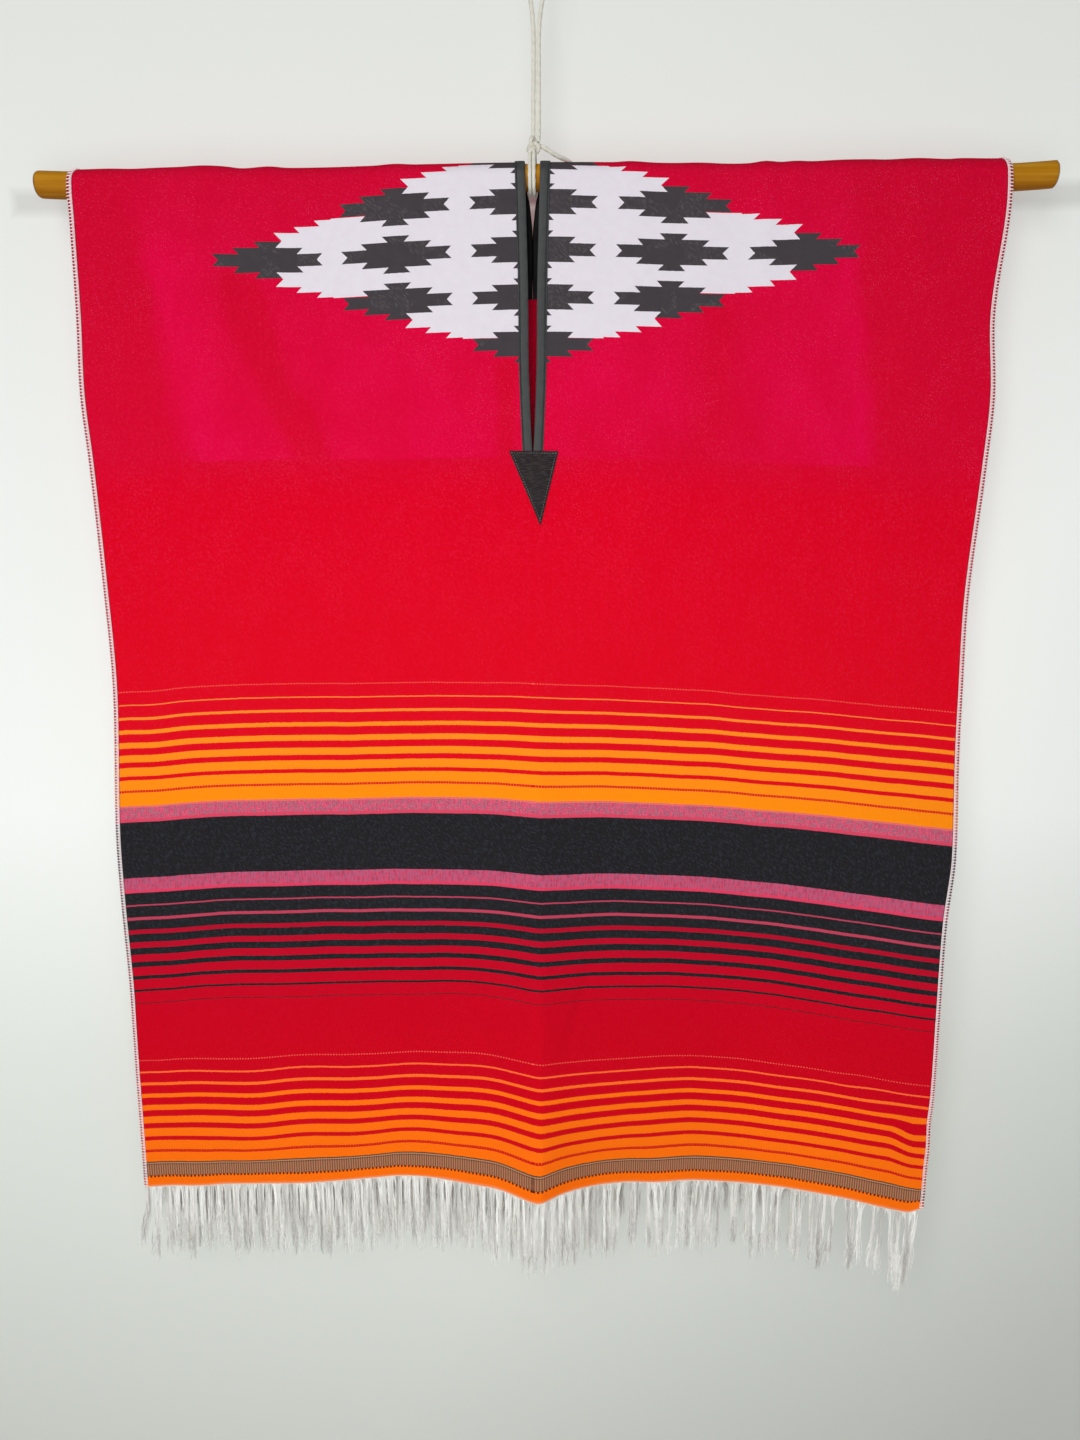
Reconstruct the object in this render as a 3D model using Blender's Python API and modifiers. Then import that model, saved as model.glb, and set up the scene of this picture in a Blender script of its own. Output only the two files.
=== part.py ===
"""A fringed poncho, one cloth with a bound neck slit, draped over a rod that hangs from a cord.

Metres, +Z up, -Y towards the viewer. The origin is on the rod's axis, in the neck slit.
Drop is the height below the fold's top. A place across is its X, from the slit.
"""
import math
import random

import bmesh
import bpy
from mathutils import Vector

for item in list(bpy.data.objects):
    bpy.data.objects.remove(item, do_unlink=True)

FRONT, BACK = -1, 1
LEFT, RIGHT = -1, 1
GAP = 0.0003

ROD_RADIUS = 0.014
ROD_LEFT_END = -0.535
ROD_RIGHT_END = 0.563
ROD_TILT = 0.0075
ROD_BOW = 0.0042
ROD_BOW_REACH = 0.30
ROD_TIP_RISE = 0.0028
ROD_TIP_START = 0.47
ROD_TIP_REACH = 0.08
ROD_EASED_END = 0.005
ROD_LEFT_END_SHARE = 0.72
ROD_LEFT_SHOULDER = 0.0015
ROD_LEFT_SHOULDER_SHARE = 0.90
ROD_RIGHT_END_SHARE = 0.93
ROD_RIGHT_BEVEL = 0.001
ROD_STEPS = 18

CLOTH_WALL = 0.0014
INNER_RADIUS = ROD_RADIUS + 0.0006
FOLD_DROP = 0.0157
BOW_FADED_DROP = 0.35
LIFT_FADE_START = 0.020
LIFT_FADE_REACH = 0.230
CREST_POWER = 1.25
WAVE_SHARPNESS = 2.2
STAND_BACK_MOST = 0.008
HEM_DROP = 1.1735
ARC_STEPS = 5
ROWS_TO_SLIT_END = 7
ROWS_TO_HEM = 18
COLUMN_SHARES = (0.0, 0.03, 0.07, 0.12, 0.18, 0.26, 0.35, 0.44, 0.54, 0.65, 0.76, 0.88, 1.0)

FRONT_SLIT_END = 0.3034
BACK_SLIT_END = 0.138
LEATHER_WALL = 0.0009
BINDING_WIDTH = 0.011
BINDING_EASE = 0.0005

ARROW_TOP = FRONT_SLIT_END
ARROW_LENGTH = 0.081
ARROW_LEFT = -0.0265
ARROW_RIGHT = 0.0286
ARROW_TIP = 0.0086
ARROW_TIP_SHARE = 0.015
ARROW_WALL = 0.0011
ARROW_ROWS = 8
ARROW_COLUMNS = 4

STRIP_HEIGHT = 0.004
LOCK_PITCH = 0.0105
LOCK_WIDTH = 0.0036
LOCK_LENGTH = 0.088
LOCK_SPREAD = 0.012
LOCK_SWAY = 0.0022
LOCK_STAND_OUT = (-0.001, 0.002)
FRINGE_SEED = 7

CORD_RADIUS = 0.0024
TURN_TOP = 0.0289
TURN_TOP_HALF_DEPTH = 0.0060
TURN_STEPS = 14
KNOT_CENTRE = (0.0008, 0.0, 0.0335)
KNOT_HALF_SIZE = (0.0071, 0.0052, 0.0076)


def table(columns, *rows):
    names = columns.split()
    return [dict(zip(names, row)) for row in rows]


LOCK_LEVELS = table(
    "share widen thicken",
    (0.14, 1.15, 1.6),
    (0.62, 0.85, 0.9),
)

# How far the cloth stands off the rod along the fold.
LIFTS = table(
    "across lift",
    (-0.492, 0.0000), (-0.456, 0.0019), (-0.405, 0.0012), (-0.354, 0.0044), (-0.303, 0.0006),
    (-0.280, 0.0024), (-0.250, 0.0000), (-0.195, 0.0020), (-0.160, 0.0006), (-0.120, 0.0026),
    (-0.070, 0.0016), (-0.030, 0.0013), (0.030, 0.0013), (0.090, 0.0022), (0.140, 0.0004),
    (0.174, 0.0020), (0.208, 0.0008), (0.250, 0.0040), (0.300, 0.0034), (0.344, 0.0050),
    (0.400, 0.0062), (0.460, 0.0056), (0.495, 0.0046), (0.510, 0.0022),
)

# Half the gap between the two bindings at each drop. The cord keeps the slit open behind the rod.
FRONT_OPENING = table("drop half_gap", (0.0, 0.00825), (0.155, 0.0044), (FRONT_SLIT_END, 0.00055))
BACK_OPENING = table(
    "drop half_gap",
    (0.0, 0.00825), (0.012, 0.0066), (0.0285, 0.0060), (0.042, 0.0024), (0.058, 0.00055),
    (BACK_SLIT_END, 0.00055),
)

# The two side edges at each drop.
SIDES = table(
    "drop left right",
    (0.000, -0.4920, 0.5070), (0.057, -0.4920, 0.5090), (0.157, -0.4925, 0.5068), (0.237, -0.4920, 0.5080),
    (0.307, -0.4912, 0.5036), (0.437, -0.4853, 0.4955), (0.567, -0.4800, 0.4880), (0.727, -0.4840, 0.4832),
    (0.807, -0.4820, 0.4760), (0.927, -0.4802, 0.4715), (1.057, -0.4783, 0.4750), (1.177, -0.4762, 0.4690),
)

# How much lower the weft runs than at the slit, on the front, from the middle of the drop down.
WEFT_DROOP = table(
    "across droop",
    (-0.490, 0.0085), (-0.443, 0.0050), (-0.385, 0.0010), (-0.270, -0.0025), (-0.154, -0.0013),
    (0.000, 0.0000), (0.077, 0.0035), (0.135, 0.0070), (0.193, 0.0108), (0.251, 0.0147),
    (0.309, 0.0187), (0.367, 0.0237), (0.424, 0.0300), (0.482, 0.0365), (0.510, 0.0395),
)
DROOP_START = 0.09
DROOP_FULL = 0.53

# How far each fold stands out at each drop. The cloth between them stands out by rest.
FRONT_FOLDS = table(
    "drop ridge right_edge left_edge left_wave flank hollow rest",
    (0.31, 0.000, 0.000, 0.000, 0.000, 0.000, 0.000, 0.000),
    (0.46, 0.000, 0.000, 0.000, 0.000, 0.000, 0.000, 0.001),
    (0.61, 0.011, 0.003, 0.000, 0.002, 0.000, 0.000, 0.003),
    (0.72, 0.021, 0.020, 0.001, 0.003, 0.000, 0.000, 0.002),
    (0.81, 0.026, 0.037, 0.001, 0.004, -0.002, -0.001, 0.003),
    (0.93, 0.030, 0.035, 0.001, 0.005, -0.006, -0.005, 0.004),
    (1.07, 0.037, 0.018, 0.000, 0.010, -0.008, -0.011, 0.003),
    (1.18, 0.058, 0.036, 0.009, 0.016, 0.010, -0.006, 0.006),
)
FRONT_FOLD_PLACES = table(
    "fold kind centre reach",
    ("ridge", "crest", 0.008, 0.066),
    ("right_edge", "edge", 0.490, 0.250),
    ("left_edge", "edge", -0.490, -0.170),
    ("left_wave", "wave", -0.295, 0.105),
    ("flank", "wave", -0.075, 0.070),
    ("hollow", "wave", 0.235, 0.140),
)
BACK_FOLDS = table(
    "drop inner_wave outer_wave left_wave left_edge rest",
    (0.31, 0.000, 0.000, 0.000, 0.000, 0.000),
    (0.51, 0.004, 0.002, 0.003, 0.001, 0.001),
    (0.76, 0.009, 0.006, 0.008, 0.003, 0.002),
    (1.01, 0.013, 0.010, 0.011, 0.005, 0.003),
    (1.18, 0.015, 0.012, 0.012, 0.007, 0.003),
)
BACK_FOLD_PLACES = table(
    "fold kind centre reach",
    ("inner_wave", "wave", 0.105, 0.110),
    ("outer_wave", "wave", 0.365, 0.090),
    ("left_wave", "wave", -0.215, 0.120),
    ("left_edge", "edge", -0.490, -0.130),
)
BACK_DROOP_SHARE = -0.8

# Where each turn of the cord lies across the slit, before and behind the rod.
TURNS = table(
    "turn front back",
    ("cord_turn_left", -0.0033, -0.0026),
    ("cord_turn_right", 0.0019, 0.0026),
)
# The hanging cord's two strands, up from the knot to its loop and down again.
LOOP_ROUTE = (
    (0.0008, -0.0006, 0.0415), (0.0009, -0.0007, 0.0700), (0.0012, -0.0008, 0.1100),
    (0.0010, -0.0008, 0.1450), (-0.0012, -0.0006, 0.1700), (-0.0055, -0.0003, 0.1930),
    (-0.0068, 0.0000, 0.2140), (-0.0020, 0.0003, 0.2285), (0.0060, 0.0003, 0.2320),
    (0.0135, 0.0003, 0.2260), (0.0165, 0.0003, 0.2110), (0.0142, 0.0004, 0.1910),
    (0.0093, 0.0006, 0.1690), (0.0068, 0.0007, 0.1450), (0.0066, 0.0007, 0.1100),
    (0.0066, 0.0006, 0.0700), (0.0066, 0.0004, 0.0420),
)
# The free end, off the knot's right side and over the top of the cloth.
TAIL_ROUTE = (
    (0.0086, -0.0004, 0.0318), (0.0130, -0.0008, 0.0300), (0.0185, -0.0006, 0.0268),
    (0.0245, 0.0006, 0.0236), (0.0310, 0.0030, 0.0214), (0.0375, 0.0065, 0.0196),
    (0.0435, 0.0105, 0.0172),
)


def smooth(value):
    value = min(max(value, 0.0), 1.0)
    return value * value * (3.0 - 2.0 * value)


def read(rows, key, column, at):
    """Reads a column between a table's rows, on a smooth curve through them."""
    if at <= rows[0][key]:
        return rows[0][column]
    if at >= rows[-1][key]:
        return rows[-1][column]
    index = next(i for i in range(len(rows) - 1) if at <= rows[i + 1][key])

    def slope(i):
        low, high = max(i - 1, 0), min(i + 1, len(rows) - 1)
        return (rows[high][column] - rows[low][column]) / (rows[high][key] - rows[low][key])

    start, end = rows[index], rows[index + 1]
    span = end[key] - start[key]
    t = (at - start[key]) / span
    return ((2 * t ** 3 - 3 * t ** 2 + 1) * start[column]
            + (t ** 3 - 2 * t ** 2 + t) * span * slope(index)
            + (3 * t ** 2 - 2 * t ** 3) * end[column]
            + (t ** 3 - t ** 2) * span * slope(index + 1))


def smooth_route(points, steps):
    """A smooth line through the points, with that many steps between two of them."""
    points = [Vector(p) for p in points]
    route = []
    for i in range(len(points) - 1):
        before, after = points[max(i - 1, 0)], points[min(i + 2, len(points) - 1)]
        a, b = points[i], points[i + 1]
        for step in range(steps):
            t = step / steps
            route.append(0.5 * ((2 * a) + (b - before) * t + (2 * before - 5 * a + 4 * b - after) * t ** 2
                                + (3 * a - before - 3 * b + after) * t ** 3))
    route.append(points[-1])
    return route


def rod_height(across):
    """The rod is bowed, highest near the cord, with tips turned up a little, and hangs out of level."""
    tip = max(abs(across) - ROD_TIP_START, 0.0) / ROD_TIP_REACH
    return ROD_TILT * across + ROD_TIP_RISE * tip ** 2 - ROD_BOW * smooth(abs(across) / ROD_BOW_REACH)


def lift(across, drop):
    """How far the cloth stands off the rod, fading out below it."""
    return read(LIFTS, "across", "lift", across) * (1.0 - smooth((drop - LIFT_FADE_START) / LIFT_FADE_REACH))


def fold_share(place, across):
    """1 on a fold's line, 0 beyond its reach. A crest is sharp, a wave round, an edge fold one-sided."""
    offset = (across - place["centre"]) / place["reach"]
    if place["kind"] == "crest":
        return math.exp(-abs(offset) ** CREST_POWER)
    if place["kind"] == "wave":
        return math.exp(-WAVE_SHARPNESS * offset ** 2)
    return smooth(1.0 + offset)


def stand_out(across, drop, face):
    """How far the cloth stands out of the plane below the rod, or a little back from it."""
    folds, places = (FRONT_FOLDS, FRONT_FOLD_PLACES) if face == FRONT else (BACK_FOLDS, BACK_FOLD_PLACES)
    out = read(folds, "drop", "rest", drop)
    for place in places:
        out += read(folds, "drop", place["fold"], drop) * fold_share(place, across)
    return max(out, -STAND_BACK_MOST)


def droop(across, drop, face):
    front = read(WEFT_DROOP, "across", "droop", across)
    front *= smooth((drop - DROOP_START) / (DROOP_FULL - DROOP_START))
    return front if face == FRONT else front * BACK_DROOP_SHARE


def inner_point(across, drop, face):
    """A point on the side of the cloth that faces the rod."""
    radius = INNER_RADIUS + lift(across, drop)
    if drop < FOLD_DROP:
        angle = 0.5 * math.pi * drop / FOLD_DROP
        out = radius * math.sin(angle)
        height = rod_height(across) + radius * math.cos(angle)
    else:
        out = radius + stand_out(across, drop, face)
        level = ROD_TILT * across
        bow = (rod_height(across) - level) * (1.0 - smooth(drop / BOW_FADED_DROP))
        height = level + bow - (drop - FOLD_DROP) - droop(across, drop, face)
    return Vector((across, face * out, height))


def cloth_point(across, drop, face, depth=0.0):
    """A point that far out from the cloth's inner side."""
    point = inner_point(across, drop, face)
    if depth == 0.0:
        return point
    step = 0.0005
    along = inner_point(across + step, drop, face) - inner_point(across - step, drop, face)
    down = inner_point(across, drop + step, face) - point
    normal = along.cross(down).normalized()
    if normal.y * face < 0.0 or (abs(normal.y) < 0.2 and normal.z < 0.0):
        normal.negate()
    return point + depth * normal


def slit_opening(drop, face):
    """Half the width of the gap between the two bindings."""
    return read(FRONT_OPENING if face == FRONT else BACK_OPENING, "drop", "half_gap", drop)


def cloth_slit_edge(drop, face):
    return slit_opening(drop, face) + LEATHER_WALL + GAP


def drops_down(face, last):
    """The drops of the rows of points, down to the last, the same for all that lies on the cloth."""
    slit_end = FRONT_SLIT_END if face == FRONT else BACK_SLIT_END
    drops = [FOLD_DROP * i / ARC_STEPS for i in range(ARC_STEPS + 1)]
    slit_rows = ROWS_TO_SLIT_END if face == FRONT else ROWS_TO_SLIT_END // 2 + 1
    drops += [FOLD_DROP + (slit_end - FOLD_DROP) * i / slit_rows for i in range(1, slit_rows + 1)]
    hem_rows = ROWS_TO_HEM if face == FRONT else ROWS_TO_HEM + 3
    drops += [slit_end + (HEM_DROP - slit_end) * i / hem_rows for i in range(1, hem_rows + 1)]
    kept = [drop for drop in drops if drop < last - 1e-4]
    return kept + [last]


def column_places(drop, face):
    """Where the panel's columns of points lie at a drop, from the left edge to the right."""
    slit = cloth_slit_edge(drop, face)
    left, right = read(SIDES, "drop", "left", drop), read(SIDES, "drop", "right", drop)
    return ([-slit + (left + slit) * share for share in reversed(COLUMN_SHARES)]
            + [slit + (right - slit) * share for share in COLUMN_SHARES])


def hem_point(across, face, depth):
    """A point on the panel's hem, straight between two of its columns."""
    places = column_places(HEM_DROP, face)
    index = next((i for i in range(1, len(places) - 1) if across < places[i]), len(places) - 1)
    start, end = places[index - 1], places[index]
    share = (across - start) / (end - start)
    point = cloth_point(start, HEM_DROP, face, depth).lerp(cloth_point(end, HEM_DROP, face, depth), share)
    point.z = inner_point(start, HEM_DROP, face).lerp(inner_point(end, HEM_DROP, face), share).z
    return point


def material(name, colour, roughness, metallic=0.0):
    made = bpy.data.materials.new(name)
    made.use_nodes = True
    shader = made.node_tree.nodes["Principled BSDF"]
    shader.inputs["Base Color"].default_value = (*colour, 1.0)
    shader.inputs["Roughness"].default_value = roughness
    shader.inputs["Metallic"].default_value = metallic
    return made


collection = bpy.data.collections.new("poncho")
bpy.context.scene.collection.children.link(collection)


def add_object(name, data, finish):
    made = bpy.data.objects.new(name, data)
    collection.objects.link(made)
    data.materials.append(finish)
    return made


def mesh_from(bm, name, sharp_angle=math.radians(40)):
    mesh = bpy.data.meshes.new(name)
    bm.to_mesh(mesh)
    bm.free()
    mesh.shade_smooth()
    mesh.set_sharp_from_angle(angle=sharp_angle)
    return mesh


def add_surface(bm, grid, skip=lambda row, column: False):
    """Faces over a grid of points, left out where skip says so."""
    verts = [[bm.verts.new(point) for point in row] for row in grid]
    for row in range(len(verts) - 1):
        for column in range(len(verts[row]) - 1):
            if not skip(row, column):
                bm.faces.new((verts[row][column], verts[row + 1][column],
                              verts[row + 1][column + 1], verts[row][column + 1]))


def add_wall(made, thickness):
    """Gives an open surface its thickness, out from the rod."""
    wall = made.modifiers.new("Wall", "SOLIDIFY")
    wall.thickness = thickness
    wall.offset = 1.0
    wall.use_even_offset = True
    wall.use_quality_normals = True


def add_loft(bm, rings):
    """A closed body through rings of as many points each."""
    verts = [[bm.verts.new(point) for point in ring] for ring in rings]
    count = len(verts[0])
    for ring, following in zip(verts, verts[1:]):
        for i in range(count):
            bm.faces.new((ring[i], ring[(i + 1) % count], following[(i + 1) % count], following[i]))
    bm.faces.new(tuple(reversed(verts[0])))
    bm.faces.new(tuple(verts[-1]))
    return verts


def panel(name, face, finish):
    """Half of the cloth, from the fold over the rod to a hem, with the slit open in the middle."""
    drops = drops_down(face, HEM_DROP)
    drops[0] = FOLD_DROP * (2.0 / math.pi) * (GAP / 2.0) / INNER_RADIUS
    slit_end = FRONT_SLIT_END if face == FRONT else BACK_SLIT_END
    grid = [[cloth_point(place, drop, face) for place in column_places(drop, face)] for drop in drops]
    middle = len(COLUMN_SHARES) - 1

    bm = bmesh.new()
    add_surface(bm, grid, lambda row, column: column == middle and drops[row] < slit_end - 1e-4)
    made = add_object(name, mesh_from(bm, name), finish)
    add_wall(made, CLOTH_WALL)
    if face == BACK:
        made.data.flip_normals()
    return made


def binding(name, side, finish):
    """A folded strip round one edge of the slit, from its front end over the rod to its back end."""
    inside, outside = -GAP - LEATHER_WALL, CLOTH_WALL + GAP + LEATHER_WALL
    ease = BINDING_EASE
    section = table(
        "across depth",
        (0.0, inside + ease), (ease, inside), (BINDING_WIDTH, inside), (BINDING_WIDTH, -GAP),
        (LEATHER_WALL, -GAP), (LEATHER_WALL, CLOTH_WALL + GAP), (BINDING_WIDTH, CLOTH_WALL + GAP),
        (BINDING_WIDTH, outside), (ease, outside), (0.0, outside - ease),
    )
    stations = [(drop, FRONT) for drop in reversed(drops_down(FRONT, FRONT_SLIT_END - GAP))]
    stations += [(drop, BACK) for drop in drops_down(BACK, BACK_SLIT_END - GAP)[1:]]
    rings = []
    for drop, face in stations:
        edge = slit_opening(drop, face)
        ring = [cloth_point(side * (edge + corner["across"]), drop, face, corner["depth"])
                for corner in section]
        rings.append(list(reversed(ring)) if side == RIGHT else ring)
    bm = bmesh.new()
    add_loft(bm, rings)
    return add_object(name, mesh_from(bm, name), finish)


def arrowhead(name, finish):
    """A pointed patch over the front end of the slit, on the cloth's face."""
    depth = CLOTH_WALL + GAP
    grid = []
    for row in range(ARROW_ROWS + 1):
        share = row / ARROW_ROWS
        width_left = 1.0 - share * (1.0 - ARROW_TIP_SHARE)
        left = ARROW_TIP + (ARROW_LEFT - ARROW_TIP) * width_left
        right = ARROW_TIP + (ARROW_RIGHT - ARROW_TIP) * width_left
        places = [left + (right - left) * i / ARROW_COLUMNS for i in range(ARROW_COLUMNS + 1)]
        drop = ARROW_TOP + ARROW_LENGTH * share
        grid.append([cloth_point(place, drop, FRONT, depth) for place in places])
    bm = bmesh.new()
    add_surface(bm, grid)
    made = add_object(name, mesh_from(bm, name), finish)
    add_wall(made, ARROW_WALL)
    return made


def hang_lock(bm, end, length, sway):
    """Draws a face of the strip down into a tapered lock."""
    root = end.calc_center_median()
    for level in LOCK_LEVELS:
        end = bmesh.ops.extrude_discrete_faces(bm, faces=[end])["faces"][0]
        old = end.calc_center_median()
        new = root + sway * level["share"] - Vector((0, 0, length * level["share"]))
        for vert in end.verts:
            offset = vert.co - old
            vert.co = new + Vector((offset.x * level["widen"], offset.y * level["thicken"], 0.0))
    end = bmesh.ops.extrude_discrete_faces(bm, faces=[end])["faces"][0]
    tip = root + sway - Vector((0, 0, length))
    bmesh.ops.pointmerge(bm, verts=list(end.verts), merge_co=tip)


def fringe(name, face, seed, finish):
    """A narrow strip just under a hem, with the warp ends hanging from it in tapered locks."""
    rng = random.Random(seed)
    left, right = SIDES[-1]["left"] + 0.001, SIDES[-1]["right"] - 0.001
    count = int((right - left) / LOCK_PITCH)
    pitch = (right - left) / count
    places = [left]
    for i in range(count):
        middle = left + (i + 0.5) * pitch
        places += [middle - LOCK_WIDTH / 2, middle + LOCK_WIDTH / 2]
    places.append(right)

    rings = []
    for place in places:
        inner, outer = hem_point(place, face, 0.0), hem_point(place, face, CLOTH_WALL)
        top, foot = Vector((0, 0, -GAP)), Vector((0, 0, -GAP - STRIP_HEIGHT))
        near, far = (outer, inner) if face == FRONT else (inner, outer)
        rings.append([near + top, near + foot, far + foot, far + top])
    bm = bmesh.new()
    verts = add_loft(bm, rings)

    roots = []
    for i in range(count):
        ring, following = verts[1 + 2 * i], verts[2 + 2 * i]
        roots.append(bm.faces.get((ring[1], ring[2], following[2], following[1])))
    for root in roots:
        length = LOCK_LENGTH + rng.uniform(-1.0, 1.0) * LOCK_SPREAD
        sway = Vector((rng.uniform(-LOCK_SWAY, LOCK_SWAY), face * rng.uniform(*LOCK_STAND_OUT), 0.0))
        hang_lock(bm, root, length, sway)
    return add_object(name, mesh_from(bm, name), finish)


def tube(name, points, radius, sides_level, finish, end_radii=(1.0, 1.0)):
    """A round rod or cord along the points, with closed ends."""
    curve = bpy.data.curves.new(name, "CURVE")
    curve.dimensions = "3D"
    curve.bevel_depth = radius
    curve.bevel_resolution = sides_level
    curve.use_fill_caps = True
    spline = curve.splines.new("POLY")
    spline.points.add(len(points) - 1)
    for point, place in zip(spline.points, points):
        point.co = (*place, 1.0)
    spline.points[0].radius, spline.points[-1].radius = end_radii
    return add_object(name, curve, finish)


def rod(name, finish):
    """A bare stick, its left end worn round and its right end sawn off."""
    inset = ROD_EASED_END
    span = ROD_RIGHT_END - ROD_LEFT_END - 2 * inset
    places = [ROD_LEFT_END, ROD_LEFT_END + ROD_LEFT_SHOULDER]
    places += [ROD_LEFT_END + inset + span * i / ROD_STEPS for i in range(ROD_STEPS + 1)]
    places += [ROD_RIGHT_END - ROD_RIGHT_BEVEL, ROD_RIGHT_END]
    made = tube(name, [(place, 0.0, rod_height(place)) for place in places], ROD_RADIUS, 8, finish,
                (ROD_LEFT_END_SHARE, ROD_RIGHT_END_SHARE))
    made.data.splines[0].points[1].radius = ROD_LEFT_SHOULDER_SHARE
    return made


def cord_turn(turn, finish):
    """One turn round the rod: down its front from the knot, under it and up its back."""
    middle, swing = (turn["front"] + turn["back"]) / 2, (turn["front"] - turn["back"]) / 2
    reach = ROD_RADIUS + GAP + CORD_RADIUS
    away = math.hypot(TURN_TOP, TURN_TOP_HALF_DEPTH)
    start = math.atan2(TURN_TOP_HALF_DEPTH, TURN_TOP) + math.acos(reach / away)
    points = [(turn["front"], -TURN_TOP_HALF_DEPTH, TURN_TOP)]
    for i in range(TURN_STEPS + 1):
        angle = start + (2 * math.pi - 2 * start) * i / TURN_STEPS
        points.append((middle + swing * math.sin(angle), -reach * math.sin(angle), reach * math.cos(angle)))
    points.append((turn["back"], TURN_TOP_HALF_DEPTH, TURN_TOP))
    return tube(turn["turn"], points, CORD_RADIUS, 2, finish)


def knot(name, finish):
    bm = bmesh.new()
    bmesh.ops.create_uvsphere(bm, u_segments=16, v_segments=10, radius=1.0)
    bmesh.ops.scale(bm, vec=KNOT_HALF_SIZE, verts=bm.verts)
    bmesh.ops.translate(bm, vec=KNOT_CENTRE, verts=bm.verts)
    return add_object(name, mesh_from(bm, name), finish)


def build():
    leather = material("black_leather", (0.028, 0.031, 0.034), 0.45)
    off_white = (0.72, 0.70, 0.64)

    panel("front_panel", FRONT, material("front_twill", (0.70, 0.004, 0.03), 0.85))
    panel("back_panel", BACK, material("back_twill", (0.66, 0.004, 0.03), 0.85))
    binding("neck_binding_left", LEFT, leather)
    binding("neck_binding_right", RIGHT, leather.copy())
    arrowhead("front_arrowhead", leather.copy())
    fringe("front_fringe", FRONT, FRINGE_SEED, material("front_warp_ends", (0.80, 0.79, 0.76), 0.8))
    fringe("back_fringe", BACK, FRINGE_SEED + 1, material("back_warp_ends", (0.78, 0.77, 0.74), 0.8))

    rod("hanging_rod", material("bare_wood", (0.46, 0.25, 0.06), 0.5))
    cord_finish = material("cord", off_white, 0.8)
    for turn in TURNS:
        cord_turn(turn, cord_finish.copy())
    knot("cord_knot", cord_finish.copy())
    tube("cord_loop", smooth_route(LOOP_ROUTE, 2), CORD_RADIUS, 2, cord_finish.copy())
    tube("cord_tail", smooth_route(TAIL_ROUTE, 2), CORD_RADIUS, 2, cord_finish.copy())


build()
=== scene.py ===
import math
from functools import reduce

import bmesh
import bpy
import numpy as np
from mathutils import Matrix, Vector


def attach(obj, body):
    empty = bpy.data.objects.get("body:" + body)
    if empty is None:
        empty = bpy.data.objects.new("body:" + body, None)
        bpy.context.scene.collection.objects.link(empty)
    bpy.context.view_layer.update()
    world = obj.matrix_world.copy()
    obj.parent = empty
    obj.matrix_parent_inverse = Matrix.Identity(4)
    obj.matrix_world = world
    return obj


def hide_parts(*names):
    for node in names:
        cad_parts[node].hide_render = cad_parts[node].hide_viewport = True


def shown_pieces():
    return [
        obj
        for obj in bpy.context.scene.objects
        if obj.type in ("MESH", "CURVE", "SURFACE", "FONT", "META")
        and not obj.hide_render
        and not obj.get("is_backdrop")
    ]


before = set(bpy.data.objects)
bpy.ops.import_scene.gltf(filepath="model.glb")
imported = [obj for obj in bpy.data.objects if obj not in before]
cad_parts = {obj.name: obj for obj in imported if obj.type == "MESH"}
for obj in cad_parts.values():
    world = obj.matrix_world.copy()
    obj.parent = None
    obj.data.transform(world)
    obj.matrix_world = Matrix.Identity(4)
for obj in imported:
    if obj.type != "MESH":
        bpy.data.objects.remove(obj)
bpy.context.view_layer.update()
scene = bpy.context.scene
scene.view_settings.view_transform = "Standard"
front, back = -1, 1

# the camera stands close and a little below the rod's middle, tipped down
print("camera")
cameraView = {"place": (0.008, -1.248, -0.384), "tiltDown": 9.5, "lens": 27.05, "sensor": 36.0}


def makeCamera(view):
    data = bpy.data.cameras.new("camera")
    data.lens, data.sensor_width = view["lens"], view["sensor"]
    data.clip_start, data.clip_end = 0.01, 60.0
    camera = bpy.data.objects.new("camera", data)
    camera.location = view["place"]
    camera.rotation_euler = (math.radians(90 - view["tiltDown"]), 0, 0)
    scene.collection.objects.link(camera)
    scene.camera = camera


makeCamera(cameraView)


def linear(red, green, blue):  # a colour as a screen shows it, for a shader
    values = (value / 255.0 for value in (red, green, blue))
    return (*(v / 12.92 if v <= 0.04045 else ((v + 0.055) / 1.055) ** 2.4 for v in values), 1.0)


def addNode(tree, kind, inputs=None, **settings):
    node = tree.nodes.new(kind)
    for name, value in settings.items():
        setattr(node, name, value)
    for name, value in (inputs or {}).items():
        value = getattr(value, "socket", value)
        if isinstance(value, bpy.types.NodeSocket):
            tree.links.new(value, node.inputs[name])
        else:
            node.inputs[name].default_value = value
    return node


def calc(operation, *values):
    tree = next(value.socket.id_data for value in values if isinstance(value, Term))
    return Term(addNode(tree, "ShaderNodeMath", dict(enumerate(values)), operation=operation).outputs[0])


class Term:  # a node's value, so that sums of nodes are written as they are for numbers
    def __init__(self, socket):
        self.socket = socket

    __add__ = __radd__ = lambda self, other: calc("ADD", self, other)
    __mul__ = __rmul__ = lambda self, other: calc("MULTIPLY", self, other)
    __sub__ = lambda self, other: calc("SUBTRACT", self, other)
    __rsub__ = lambda self, other: calc("SUBTRACT", other, self)
    __truediv__ = lambda self, other: calc("DIVIDE", self, other)
    __pow__ = lambda self, other: calc("POWER", self, other)
    __gt__ = lambda self, other: calc("GREATER_THAN", self, other)
    __lt__ = lambda self, other: calc("LESS_THAN", self, other)
    __abs__ = lambda self: calc("ABSOLUTE", self)


def most(one, other):
    return calc("MAXIMUM", one, other)


def least(one, other):
    return calc("MINIMUM", one, other)


def eased(value, none, full, low=0.0, high=1.0):  # low up to none, high from full on
    limits = {0: value, 1: none, 2: full, 3: low, 4: high}
    return Term(addNode(value.socket.id_data, "ShaderNodeMapRange", limits).outputs[0])


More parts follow.
